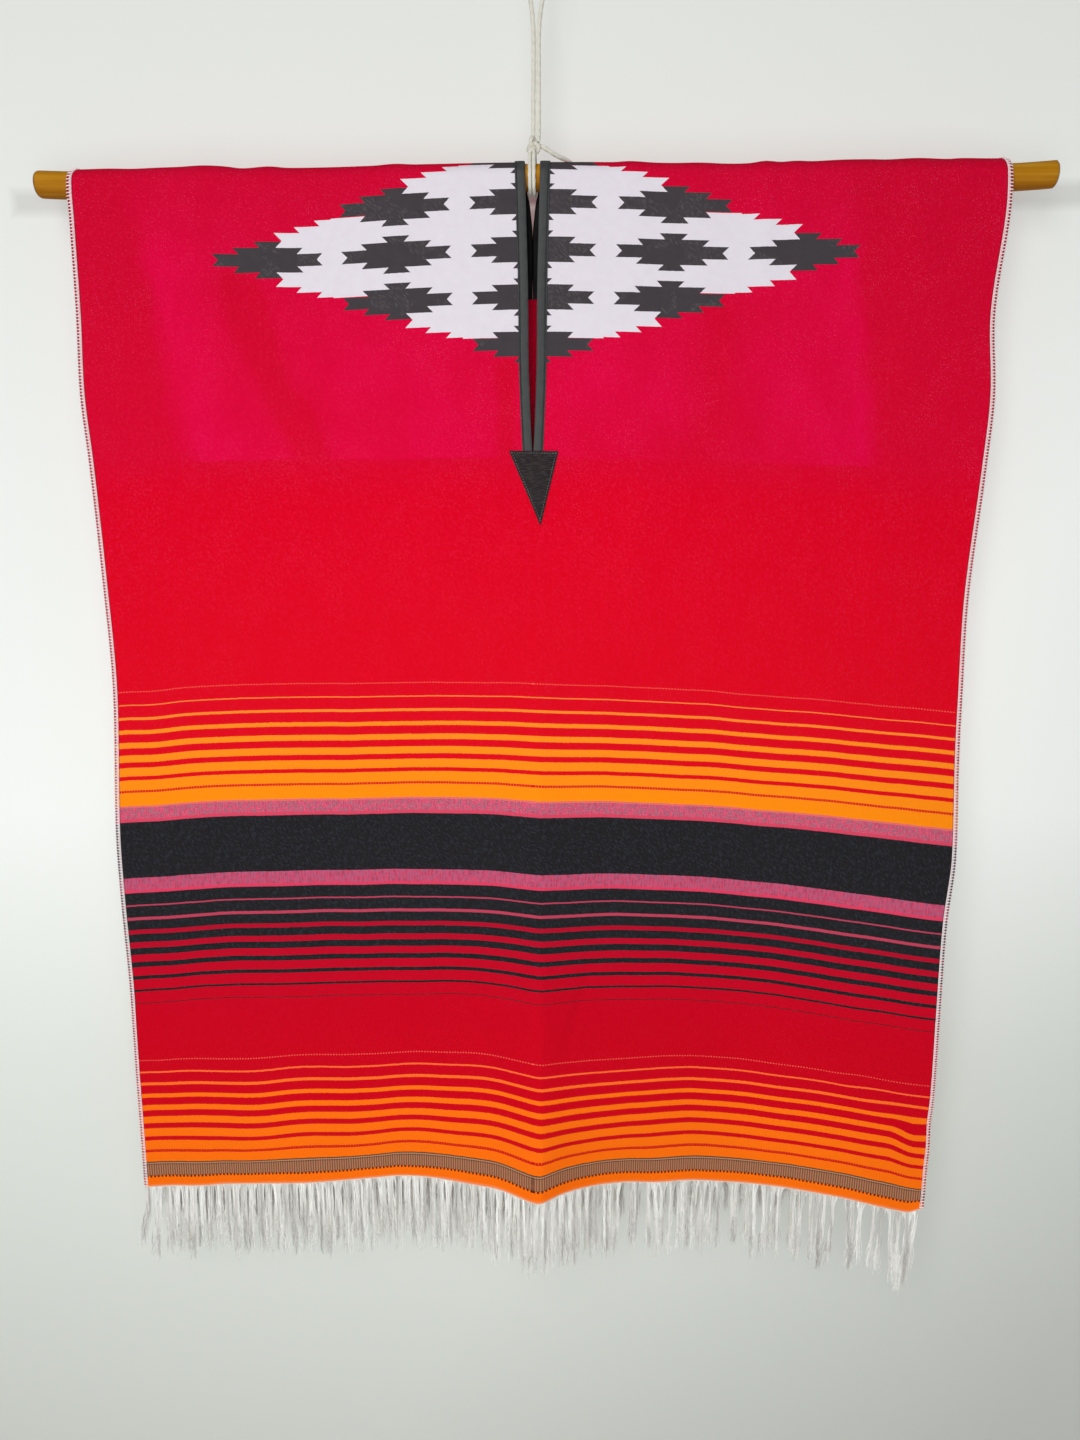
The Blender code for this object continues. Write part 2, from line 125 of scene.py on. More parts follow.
def mix(share, one, other):
    colours = {0: share, 6: one, 7: other}
    return addNode(share.socket.id_data, "ShaderNodeMix", colours, data_type="RGBA").outputs[2]


def painted(ground, *layers):  # each layer's share and colour, over the ones before it
    return reduce(lambda under, layer: mix(layer[0], under, layer[1]), layers, ground)


def ramp(value, *stops):
    node = addNode(value.socket.id_data, "ShaderNodeValToRGB", {"Fac": value})
    elements = node.color_ramp.elements
    for element, (position, colour) in zip(elements, (stops[0], stops[-1])):
        element.position, element.color = position, colour
    for position, colour in stops[1:-1]:
        elements.new(position).color = colour
    return node.outputs[0]


def noise(place, scale, detail=2.0, shift=0.0):  # with its own scale along each axis
    tree = place.id_data
    moved = addNode(tree, "ShaderNodeMapping", {"Vector": place, "Scale": scale, "Location": (shift,) * 3})
    grain = {"Vector": moved.outputs[0], "Scale": 1.0, "Detail": detail}
    return Term(addNode(tree, "ShaderNodeTexNoise", grain).outputs[0])


def parts(place):
    return [Term(out) for out in addNode(place.id_data, "ShaderNodeSeparateXYZ", {"Vector": place}).outputs]


def newMaterial(name, roughness, mapped=False, **constants):  # mapped: laid out by the piece's own UV map
    material = bpy.data.materials.new(name)
    material.use_nodes = True
    tree = material.node_tree
    shader = tree.nodes["Principled BSDF"]
    for label, value in {"Roughness": roughness, **constants}.items():
        shader.inputs[label.replace("_", " ")].default_value = value
    if mapped:
        return material, shader, addNode(tree, "ShaderNodeUVMap", uv_map="UVMap").outputs[0]
    return material, shader, addNode(tree, "ShaderNodeTexCoord").outputs["Object"]


def feed(shader, label, value):
    shader.id_data.links.new(getattr(value, "socket", value), shader.inputs[label])


def bump(shader, height, strength, distance):
    sizes = {"Height": height, "Strength": strength, "Distance": distance}
    feed(shader, "Normal", addNode(shader.id_data, "ShaderNodeBump", sizes).outputs[0])


def addMesh(name, points, faces, finish, normals=True):
    mesh = bpy.data.meshes.new(name)
    mesh.from_pydata(np.asarray(points).reshape(-1, 3).tolist(), [], [list(map(int, f)) for f in faces])
    if normals:
        made = bmesh.new()
        made.from_mesh(mesh)
        bmesh.ops.recalc_face_normals(made, faces=made.faces)
        made.to_mesh(mesh)
        made.free()
    mesh.materials.append(finish)
    mesh.shade_smooth()
    mesh.set_sharp_from_angle(angle=math.radians(50))
    piece = bpy.data.objects.new(name, mesh)
    scene.collection.objects.link(piece)
    return piece


def setMap(piece, values):  # a value pair for each vertex, as the piece's own UV map
    loops = np.empty(len(piece.data.loops), dtype=np.int32)
    piece.data.loops.foreach_get("vertex_index", loops)
    layer = piece.data.uv_layers.new(name="UVMap")
    layer.data.foreach_set("uv", np.asarray(values)[loops].ravel())


def loftFaces(rings, around, closed=True):
    faces = []
    for start in range(0, (rings - 1) * around, around):
        end = start + around
        for i in range(around):
            j = (i + 1) % around
            faces.append((start + i, start + j, end + j, end + i))
    if closed:
        faces.append(range(around))
        faces.append(range((rings - 1) * around, rings * around))
    return faces


def smooth(value):
    value = np.clip(value, 0.0, 1.0)
    return value * value * (3.0 - 2.0 * value)


def readCurve(keys, values, at):  # a smooth curve through a table's values
    keys, values = np.asarray(keys, float), np.asarray(values, float)
    low = np.maximum(np.arange(len(keys)) - 1, 0)
    high = np.minimum(np.arange(len(keys)) + 1, len(keys) - 1)
    slope = (values[high] - values[low]) / (keys[high] - keys[low])
    at = np.clip(at, keys[0], keys[-1])
    i = np.clip(np.searchsorted(keys, at) - 1, 0, len(keys) - 2)
    span = keys[i + 1] - keys[i]
    t = (at - keys[i]) / span
    return ((2 * t ** 3 - 3 * t ** 2 + 1) * values[i] + (t ** 3 - 2 * t ** 2 + t) * span * slope[i]
            + (3 * t ** 2 - 2 * t ** 3) * values[i + 1] + (t ** 3 - t ** 2) * span * slope[i + 1])


def softNoise(x, y, seed):  # smooth noise from -1 to 1, one bump a unit
    lattice = np.random.default_rng(seed).uniform(-1.0, 1.0, (64, 64))
    x, y = np.broadcast_arrays(x, y)
    column, row = np.floor(x).astype(int), np.floor(y).astype(int)
    s, t = smooth(x - column), smooth(y - row)
    near = lattice[column % 64, row % 64] * (1 - s) + lattice[(column + 1) % 64, row % 64] * s
    far = lattice[column % 64, (row + 1) % 64] * (1 - s) + lattice[(column + 1) % 64, (row + 1) % 64] * s
    return near * (1 - t) + far * t


def smoothRoute(points, steps):
    points = [np.array(p, float) for p in points]
    route = []
    for i in range(len(points) - 1):
        before, after = points[max(i - 1, 0)], points[min(i + 2, len(points) - 1)]
        a, b = points[i], points[i + 1]
        for step in range(steps):
            t = step / steps
            route.append(0.5 * ((2 * a) + (b - before) * t + (2 * before - 5 * a + 4 * b - after) * t ** 2
                                + (3 * a - before - 3 * b + after) * t ** 3))
    return np.array(route + [points[-1]])


# the hanging cord: two strands up to a loop, a free end, a knot and two turns round the rod
print("cords")
cordSizes = {
    "radius": 0.0024, "strands": 3, "twist": 0.0095, "groove": 0.24, "around": 18, "ringStep": 0.0009,
    "turnTop": 0.0289, "turnTopHalfDepth": 0.0060, "turnReach": 0.0140 + 0.0003 + 0.0024,
    "turns": {"Left": (-0.0030, -0.0026), "Right": (0.0013, 0.0026)},
    "knotCentre": (0.0008, -0.0034, 0.0306), "knotSize": (0.0020, 0.0036, 0.0027), "knotRadius": 0.0023,
    "knotLean": 0.42, "turnRadius": 0.0021,
    "inKnot": (((0.0006, -0.0016, 0.0352), (0.0008, -0.0006, 0.0413)),
               ((0.0056, -0.0012, 0.0352), (0.0066, 0.0004, 0.0418)),
               ((0.0040, -0.0032, 0.0330), (0.0085, -0.0004, 0.0319))),
}
loopRoute = (
    (0.0008, -0.0006, 0.0415), (0.0009, -0.0007, 0.0700), (0.0012, -0.0008, 0.1100),
    (0.0010, -0.0008, 0.1450), (-0.0012, -0.0006, 0.1700), (-0.0055, -0.0003, 0.1930),
    (-0.0068, 0.0000, 0.2140), (-0.0020, 0.0003, 0.2285), (0.0060, 0.0003, 0.2320),
    (0.0135, 0.0003, 0.2260), (0.0165, 0.0003, 0.2110), (0.0142, 0.0004, 0.1910),
    (0.0093, 0.0006, 0.1690), (0.0068, 0.0007, 0.1450), (0.0066, 0.0007, 0.1100),
    (0.0066, 0.0006, 0.0700), (0.0066, 0.0004, 0.0420),
)
tailRoute = (
    (0.0086, -0.0004, 0.0318), (0.0130, -0.0008, 0.0300), (0.0185, -0.0006, 0.0268),
    (0.0245, 0.0006, 0.0236), (0.0310, 0.0030, 0.0214), (0.0375, 0.0065, 0.0196),
    (0.0435, 0.0105, 0.0172),
)


def cordFinish():
    material, shader, place = newMaterial("cottonCord", 0.85, mapped=True, Sheen_Weight=0.2)
    fibres = noise(place, (260.0, 9000.0, 1.0), 3.0)
    soiled = noise(place, (40.0, 300.0, 1.0), 2.0, 5.0) * 0.35
    feed(shader, "Base Color", painted(linear(196, 192, 178), (fibres, linear(252, 250, 240)),
                                       (soiled, linear(206, 200, 182))))
    bump(shader, fibres, 0.6, 0.0003)
    return material


def resample(route, step):
    along = np.concatenate([[0.0], np.cumsum(np.linalg.norm(np.diff(route, axis=0), axis=1))])
    at = np.linspace(0.0, along[-1], max(int(along[-1] / step), 4) + 1)
    return np.stack([np.interp(at, along, route[:, axis]) for axis in range(3)], axis=-1), at


def twistedCord(name, route, radius, finish, sizes=cordSizes, taper=0.0):
    points, along = resample(np.asarray(route), sizes["ringStep"])
    tangents = np.gradient(points, axis=0)
    tangents /= np.linalg.norm(tangents, axis=1, keepdims=True)
    side = np.cross(tangents[0], (0.0, 1.0, 0.0) if abs(tangents[0][1]) < 0.9 else (1.0, 0.0, 0.0))
    around = sizes["around"]
    angles = 2 * math.pi * np.arange(around) / around
    rings, places = [], []
    for point, tangent, at in zip(points, tangents, along):
        side = side - tangent * side.dot(tangent)
        side /= np.linalg.norm(side)
        other = np.cross(tangent, side)
        phase = angles - 2 * math.pi * at / (sizes["twist"] * sizes["strands"])
        lobe = np.abs(np.cos(0.5 * sizes["strands"] * phase)) ** 0.7
        frayed = 1.0 - taper * smooth((at - along[-1] + 0.004) / 0.004)
        reach = radius * (1.0 - sizes["groove"] * (1.0 - lobe)) * frayed
        turns = np.cos(angles)[:, None] * side + np.sin(angles)[:, None] * other
        rings.append(point + reach[:, None] * turns)
        places.append(np.stack([np.full(around, at), angles * radius], axis=-1))
    piece = addMesh(name, np.array(rings), loftFaces(len(rings), around), finish)
    setMap(piece, np.array(places).reshape(-1, 2))
    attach(piece, "root")
    return piece


cotton = cordFinish()
loopLine = smoothRoute(loopRoute, 8)
cordLoop = twistedCord("cordLoop", loopLine, cordSizes["radius"], cotton)
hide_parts("cord_loop")

tailLine = smoothRoute(tailRoute, 8)
cordTail = twistedCord("cordTail", tailLine, cordSizes["radius"], cotton, taper=0.35)
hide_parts("cord_tail")


def makeKnot(sizes):
    t = np.linspace(0.0, 2 * math.pi * 0.985, 140)
    x = sizes["knotSize"][0] * (np.sin(t) + 2 * np.sin(2 * t))
    z = sizes["knotSize"][2] * (2 * np.cos(2 * t) - np.cos(t))
    y = -sizes["knotSize"][1] * np.sin(3 * t) + sizes["knotLean"] * np.minimum(z, 0.0)
    route = np.stack([x, y, z], axis=-1) + np.array(sizes["knotCentre"])
    knot = twistedCord("cordKnot", route, sizes["knotRadius"], cotton)
    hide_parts("cord_knot")
    for number, ends in enumerate(sizes["inKnot"]):  # the cord's strands where they run into the knot
        stub = twistedCord("knotStrand%d" % number, np.linspace(*np.array(ends), 5), sizes["radius"], cotton)


def makeTurn(side, frontPlace, backPlace, sizes):
    middle, swing = (frontPlace + backPlace) / 2, (frontPlace - backPlace) / 2
    reach, top, depth = sizes["turnReach"], sizes["turnTop"], sizes["turnTopHalfDepth"]
    start = math.atan2(depth, top) + math.acos(reach / math.hypot(top, depth))
    angles = np.linspace(start, 2 * math.pi - start, 60)
    sine, cosine = np.sin(angles), np.cos(angles)
    ring = np.stack([middle + swing * sine, -reach * sine, reach * cosine], axis=-1)
    route = np.concatenate([[(frontPlace, -depth, top)], ring, [(backPlace, depth, top)]])
    turn = twistedCord("cordTurn" + side, route, sizes["turnRadius"], cotton)
    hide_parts("cord_turn_" + side.lower())


makeKnot(cordSizes)
for turnSide, places in cordSizes["turns"].items():
    makeTurn(turnSide, *places, cordSizes)


# the rod, a bare stick: left end worn round, right end sawn
print("rod")
rodSizes = {
    "radius": 0.0140, "left": -0.535, "right": 0.563, "tilt": 0.0075, "bow": 0.0042, "bowReach": 0.30,
    "tipRise": 0.0028, "tipStart": 0.47, "tipReach": 0.08, "around": 40, "step": 0.004,
    "leftRound": 0.005, "leftShare": 0.72, "rightBevel": 0.001, "rightShare": 0.93, "unevenness": 0.0007,
    "wornFace": 0.003, "sawnFace": 0.0014,
}


def rodHeight(across):
    tip = np.maximum(np.abs(across) - rodSizes["tipStart"], 0.0) / rodSizes["tipReach"]
    return (rodSizes["tilt"] * across + rodSizes["tipRise"] * tip ** 2
            - rodSizes["bow"] * smooth(np.abs(across) / rodSizes["bowReach"]))


def woodFinish(sizes):
    material, shader, place = newMaterial("bareWood", 0.6, Specular_IOR_Level=0.10)
    across, _, height = parts(place)
    grain = noise(place, (7.0, 260.0, 260.0), 4.0)
    patches = noise(place, (9.0, 45.0, 45.0), 3.0, 3.0)
    stops = ((0.28, linear(166, 106, 8)), (0.50, linear(194, 134, 18)), (0.74, linear(216, 162, 46)))
    # painted shade: the rod's underside is darker, where less light reaches it
    low = eased(height - across * sizes["tilt"], 0.004, -0.016)
    sawn = across > sizes["right"] - sizes["sawnFace"]
    worn = across < sizes["left"] + sizes["wornFace"]
    feed(shader, "Base Color", painted(
        ramp(grain, *stops), (patches * 0.7, linear(168, 110, 10)), (low * 0.6, linear(136, 72, 6)),
        (sawn * 0.75, linear(148, 134, 110)), (worn * 0.5, linear(128, 92, 44))))
    bump(shader, grain, 0.35, 0.0006)
    return material


def makeRod(sizes):
    left, right = sizes["left"], sizes["right"]
    ends = left + sizes["leftRound"] * np.array([0.0, 0.05, 0.15, 0.3, 0.5, 0.75])
    middle = np.arange(left + sizes["leftRound"], right - sizes["rightBevel"], sizes["step"])
    places = np.concatenate([ends, middle, [right - sizes["rightBevel"], right]])
    share = np.clip((places - left) / sizes["leftRound"], 0.0, 1.0)
    size = sizes["leftShare"] + (1 - sizes["leftShare"]) * np.sqrt(1 - (1 - share) ** 2)
    size[-1] = sizes["rightShare"]
    angles = 2 * math.pi * np.arange(sizes["around"]) / sizes["around"]
    lumps = softNoise(places[:, None] * 22.0, np.cos(angles) * 1.3 + 3.0, 5)
    lumps = lumps + 0.5 * softNoise(places[:, None] * 60.0, np.sin(angles) * 2.0 + 9.0, 6)
    reach = sizes["radius"] * size[:, None] - sizes["unevenness"] * 0.35 * (1.0 + lumps * 0.66)
    points = np.stack([np.broadcast_to(places[:, None], reach.shape), -reach * np.cos(angles),
                       rodHeight(places)[:, None] + reach * np.sin(angles)], axis=-1)
    rod = addMesh("rod", points, loftFaces(len(places), sizes["around"]), woodFinish(sizes))
    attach(rod, "root")
    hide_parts("hanging_rod")
    return rod


makeRod(rodSizes)


# the cloth's form, as the solids have it, with the smaller creases on top
cloth = {
    "wall": 0.0014, "innerRadius": 0.0142, "foldDrop": 0.0157, "hemDrop": 1.1735, "bowFaded": 0.35,
    "liftFade": (0.020, 0.230), "droopFade": (0.09, 0.53), "backDroop": -0.8, "standBack": 0.008,
    "slitEnd": {front: 0.3034, back: 0.138}, "gap": 0.0003, "leather": 0.0009,
    "halfCut": (0.4925, 0.4985), "foldRows": 14, "rowStep": {front: 0.0054, back: 0.0064},
    "columns": {front: 90, back: 76}, "foldShift": 0.055, "cornerRise": (0.008, 0.448, 0.024, 1.148, 0.026),
    "unevenness": (0.0012, 0.00045), "pucker": 0.0004, "puckerPitch": 0.031, "hemWave": 0.0009,
    "hemSagStart": 1.085, "hemSagReach": 0.080, "cornerKink": (0.0085, 1.092, 0.018, 0.050, 0.446, 0.034),
    "overRod": (0.02513, 0.0094), "stripeSpans": ((0.40, 0.15), (0.99, 0.05), (1.12, 0.06)),
    "printFade": 0.5, "acrossFade": 0.6,
}
lifts = (
    (-0.492, 0.0000), (-0.456, 0.0009), (-0.430, 0.0005), (-0.405, 0.0013), (-0.379, 0.0020),
    (-0.354, 0.0032), (-0.331, 0.0022), (-0.312, 0.0001), (-0.283, 0.0017), (-0.262, 0.0000),
    (-0.172, 0.0000), (-0.148, 0.0012), (-0.124, 0.0000), (0.085, 0.0000), (0.105, 0.0012),
    (0.130, 0.0001), (0.153, 0.0000), (0.180, 0.0007), (0.208, 0.0000), (0.232, 0.0006),
    (0.250, 0.0030), (0.266, 0.0020), (0.282, 0.0031), (0.300, 0.0026), (0.331, 0.0038),
    (0.363, 0.0040), (0.379, 0.0036), (0.412, 0.0048), (0.444, 0.0037), (0.460, 0.0044),
    (0.492, 0.0037), (0.512, 0.0034),
)
openings = {
    front: ((0.0, 0.00825), (0.120, 0.0050), (0.155, 0.0046), (0.210, 0.0042), (0.253, 0.0029),
            (0.285, 0.0015), (0.3034, 0.00055)),
    back: ((0.0, 0.00825), (0.012, 0.0066), (0.0270, 0.0058), (0.036, 0.0036), (0.050, 0.0018),
           (0.068, 0.0001), (0.138, 0.0001)),
}
sides = {
    "drops": (0.0, 0.014, 0.057, 0.157, 0.237, 0.307, 0.437, 0.567, 0.727, 0.807, 0.927, 1.057, 1.177),
    "left": (-0.4910, -0.4965, -0.4965, -0.4965, -0.4980, -0.4932, -0.4858, -0.4815, -0.4893, -0.4882,
             -0.4835, -0.4843, -0.4785),
    "right": (0.5055, 0.5098, 0.5108, 0.5020, 0.5084, 0.5043, 0.4933, 0.4928, 0.4897, 0.4777, 0.4772,
              0.4820, 0.4712),
}
weftDroop = (
    (-0.490, 0.0085), (-0.443, 0.0050), (-0.385, 0.0010), (-0.270, -0.0025), (-0.154, -0.0013),
    (0.000, 0.0000), (0.077, 0.0035), (0.135, 0.0070), (0.193, 0.0108), (0.251, 0.0147),
    (0.309, 0.0187), (0.367, 0.0237), (0.424, 0.0300), (0.482, 0.0365), (0.510, 0.0395),
)
hemSag = (  # the front's last stretch hangs unevenly
    (-0.490, 0.0000), (-0.432, 0.0035), (-0.400, 0.0062), (-0.375, 0.0055), (-0.320, 0.0026),
    (-0.297, 0.0018), (-0.240, 0.0038), (-0.200, 0.0034), (-0.162, 0.0004), (-0.050, -0.0010),
    (-0.004, 0.0038), (0.036, -0.0008), (0.110, 0.0006), (0.153, 0.0034), (0.190, 0.0012),
    (0.260, 0.0016), (0.330, -0.0012), (0.385, -0.0024), (0.440, 0.0), (0.510, 0.0),
)
# each fold: its kind, its line's place across, its reach, and how far it stands out at each drop
folds = {
    front: {
        "drops": (0.31, 0.46, 0.61, 0.72, 0.81, 0.93, 1.07, 1.18),
        "rest": (0.0, 0.001, 0.003, 0.002, 0.003, 0.004, 0.003, 0.006),
        "ridge": ("crest", 0.008, 0.066, (0.0, 0.0, 0.011, 0.021, 0.026, 0.030, 0.037, 0.058)),
        "rightEdge": ("edge", 0.490, 0.250, (0.0, 0.0, 0.003, 0.020, 0.037, 0.035, 0.018, 0.036)),
        "leftEdge": ("edge", -0.490, -0.170, (0.0, 0.0, 0.0, 0.001, 0.001, 0.001, 0.000, 0.009)),
        "leftWave": ("wave", -0.295, 0.105, (0.0, 0.0, 0.002, 0.003, 0.004, 0.005, 0.010, 0.016)),
        "flank": ("wave", -0.075, 0.070, (0.0, 0.0, 0.0, 0.0, -0.002, -0.006, -0.008, 0.010)),
        "hollow": ("wave", 0.235, 0.140, (0.0, 0.0, 0.0, 0.0, -0.001, -0.005, -0.011, -0.006)),
    },
    back: {
        "drops": (0.31, 0.51, 0.76, 1.01, 1.18),
        "rest": (0.0, 0.001, 0.002, 0.003, 0.003),
        "innerWave": ("wave", 0.105, 0.110, (0.0, 0.004, 0.009, 0.013, 0.015)),
        "outerWave": ("wave", 0.365, 0.090, (0.0, 0.002, 0.006, 0.010, 0.012)),
        "leftWave": ("wave", -0.215, 0.120, (0.0, 0.003, 0.008, 0.011, 0.012)),
        "leftEdge": ("edge", -0.490, -0.130, (0.0, 0.001, 0.003, 0.005, 0.007)),
    },
}
# small creases: from and to, across and drop, how far they stand out or in, half their width
creases = {
    front: (
        (-0.330, 0.120, -0.205, 0.310, -0.0046, 0.019), (-0.300, 0.110, -0.170, 0.300, 0.0016, 0.018),
        (-0.470, 0.250, -0.400, 0.252, -0.0014, 0.007), (-0.420, 0.060, -0.360, 0.330, 0.0015, 0.026),
        (0.330, 0.080, 0.250, 0.330, -0.0018, 0.022), (0.430, 0.050, 0.400, 0.420, 0.0016, 0.030),
        (-0.120, 0.330, -0.060, 0.640, 0.0016, 0.026), (0.120, 0.340, 0.060, 0.620, 0.0014, 0.024),
        (-0.440, 0.420, -0.380, 0.900, 0.0018, 0.024), (-0.220, 0.560, -0.190, 1.120, 0.0016, 0.022),
        (0.330, 0.560, 0.300, 1.100, 0.0016, 0.026), (-0.470, 0.960, -0.420, 1.170, 0.0020, 0.016),
        (0.070, 0.900, 0.042, 0.992, -0.0018, 0.006), (0.352, 0.985, 0.480, 1.068, -0.0030, 0.014),
        (0.360, 1.018, 0.480, 1.104, 0.0024, 0.014),
    ),
    back: (
        (0.300, 0.110, 0.190, 0.340, -0.0024, 0.020), (-0.280, 0.090, -0.200, 0.360, -0.0020, 0.022),
        (0.420, 0.060, 0.380, 0.380, 0.0016, 0.026), (-0.420, 0.070, -0.400, 0.420, 0.0014, 0.024),
        (0.060, 0.230, 0.100, 0.560, 0.0016, 0.024), (-0.080, 0.240, -0.120, 0.620, 0.0014, 0.022),
        (0.250, 0.600, 0.240, 1.120, -0.0018, 0.026), (-0.360, 0.520, -0.330, 1.150, 0.0018, 0.022),
        (-0.020, 0.560, 0.000, 1.160, -0.0020, 0.028),
    ),
}


def lift(across, drop):
    start, reach = cloth["liftFade"]
    return readCurve(*zip(*lifts), across) * (1.0 - smooth((drop - start) / reach))


def standOut(across, drop, face):
    sheet = folds[face]
    out = readCurve(sheet["drops"], sheet["rest"], drop)
    for name, fold in sheet.items():
        if name in ("drops", "rest"):
            continue
        kind, centre, reach, amounts = fold
        offset = (across - centre) / reach
        share = {"crest": lambda: np.exp(-np.abs(offset) ** 1.25), "wave": lambda: np.exp(-2.2 * offset ** 2),
                 "edge": lambda: smooth(1.0 + offset)}[kind]()
        out = out + readCurve(sheet["drops"], amounts, drop) * share
    return np.maximum(out, -cloth["standBack"])


def smallCreases(across, drop, face):
    broad, fine = cloth["unevenness"]
    out = broad * softNoise(across * 9.0 + 3.0, drop * 6.5 + 1.0, 11 + face)
    out = out + fine * softNoise(across * 26.0, drop * 15.0, 14 + face)
    for x0, d0, x1, d1, height, width in creases[face]:
        long = math.hypot(x1 - x0, d1 - d0)
        along = ((across - x0) * (x1 - x0) + (drop - d0) * (d1 - d0)) / long
        aside = ((across - x0) * (d1 - d0) - (drop - d0) * (x1 - x0)) / long
        aside = aside + width * 0.7 * softNoise(along * 11.0 + 20.0, 0.5, int(1000 * abs(x0) + 7))
        beyond = np.maximum(np.maximum(-along, along - long), 0.0)
        uneven = 0.75 + 0.35 * softNoise(along * 17.0 + 9.0, 0.3, int(1000 * d1))
        out = out + height * uneven * np.exp(-(aside / width) ** 2 - (beyond / (1.6 * width)) ** 2)
    pucker = np.exp(-((np.abs(across) - 0.012) / 0.020) ** 2)  # the cloth gathers along the binding's seam
    pucker = pucker * smooth((cloth["slitEnd"][face] + 0.02 - drop) / 0.04)
    waves = np.sin(drop * 2 * math.pi / cloth["puckerPitch"] + 2.0 * softNoise(drop * 20.0, 0.2, 3))
    out = out + cloth["pucker"] * pucker * waves
    hemWave = cloth["hemWave"] * softNoise(across * 34.0, 0.4, 8) * smooth((drop - 1.05) / 0.12)
    return (out + hemWave) * smooth((drop - 0.030) / 0.10)


def innerPoint(across, drop, face):
    across, drop = np.broadcast_arrays(np.asarray(across, float), np.asarray(drop, float))
    foldDrop = cloth["foldDrop"]
    radius = cloth["innerRadius"] + lift(across, drop)
    angle = 0.5 * math.pi * np.minimum(drop / foldDrop, 1.0)
    onRod = drop < foldDrop
    out = radius + standOut(across, drop, face) + smallCreases(across, drop, face)
    start, full = cloth["droopFade"]
    droop = readCurve(*zip(*weftDroop), across) * smooth((drop - start) / (full - start))
    level = rodSizes["tilt"] * across
    bow = (rodHeight(across) - level) * (1.0 - smooth(drop / cloth["bowFaded"]))
    hang = level + bow - (drop - foldDrop) - droop * (1.0 if face == front else cloth["backDroop"])
    rise, edge, reach, low, full = cloth["cornerRise"]
    if face == front:
        sagged = smooth((drop - cloth["hemSagStart"]) / cloth["hemSagReach"])
        hang = hang - readCurve(*zip(*hemSag), across) * sagged
        hang = hang + rise * smooth((across - edge) / reach) ** 1.5 * smooth((drop - low) / full)
    height = np.where(onRod, rodHeight(across) + radius * np.cos(angle), hang)
    return np.stack([across, face * np.where(onRod, radius * np.sin(angle), out), height], axis=-1)


def clothNormal(across, drop, face):
    step = 0.0005
    along = innerPoint(across + step, drop, face) - innerPoint(across - step, drop, face)
    down = innerPoint(across, drop + step, face) - innerPoint(across, drop, face)
    normal = np.cross(along, down)
    normal /= np.linalg.norm(normal, axis=-1, keepdims=True)
    flip = (normal[..., 1] * face < 0.0) | ((np.abs(normal[..., 1]) < 0.2) & (normal[..., 2] < 0.0))
    return np.where(flip[..., None], -normal, normal)


def clothPoint(across, drop, face, depth=0.0):
    across, drop, depth = np.broadcast_arrays(*(np.asarray(v, float) for v in (across, drop, depth)))
    return innerPoint(across, drop, face) + depth[..., None] * clothNormal(across, drop, face)


def slitOpening(drop, face):
    return readCurve(*zip(*openings[face]), drop)


def dropsDown(face, last, step):
    foldDrop, slitEnd = cloth["foldDrop"], cloth["slitEnd"][face]
    fold = foldDrop * np.arange(cloth["foldRows"]) / cloth["foldRows"]
    slit = np.linspace(foldDrop, slitEnd, int((slitEnd - foldDrop) / step) + 1)
    below = np.linspace(slitEnd, cloth["hemDrop"], int((cloth["hemDrop"] - slitEnd) / step) + 1)[1:]
    drops = np.concatenate([fold, slit, below])
    return np.concatenate([drops[drops < last - 1e-4], [last]])


# how far the print and the stripes lie below their even places, across the cloth
printShift = (
    (-0.490, 0.0040), (-0.360, 0.0056), (-0.300, 0.0062), (-0.240, 0.0068), (-0.160, 0.0038),
    (-0.085, 0.0014), (0.000, 0.0000), (0.070, 0.0012), (0.140, 0.0026), (0.210, 0.0034),
    (0.280, 0.0020), (0.360, 0.0016), (0.500, 0.0010),
)
acrossShift = (
    (-0.490, 0.0), (-0.360, 0.0008), (-0.280, 0.0018), (-0.180, 0.0002), (0.000, 0.0), (0.070, 0.0015),
    (0.140, 0.0028), (0.210, 0.0032), (0.280, 0.0054), (0.400, 0.0), (0.500, 0.0),
)
foldShift = (
    (-0.300, 0.0), (-0.120, 0.0022), (-0.012, 0.0022), (0.012, 0.0050), (0.100, 0.0050), (0.240, 0.0),
)
stripeShift = (
    (-0.475, 0.0012, 0.0015), (-0.440, 0.0024, 0.0030), (-0.400, 0.0016, 0.0060), (-0.345, 0.0017, 0.0065),
    (-0.285, 0.0022, 0.0016), (-0.222, 0.0022, 0.0046), (-0.147, 0.0006, 0.0006), (-0.088, 0.0003, 0.0046),
    (-0.040, 0.0006, 0.0029), (0.033, 0.0016, 0.0041), (0.080, 0.0010, 0.0042), (0.141, 0.0008, 0.0027),
    (0.200, 0.0006, 0.0003), (0.260, 0.0022, 0.0022), (0.320, 0.0025, 0.0026), (0.380, 0.0032, 0.0019),
    (0.440, 0.0022, 0.0018),
)


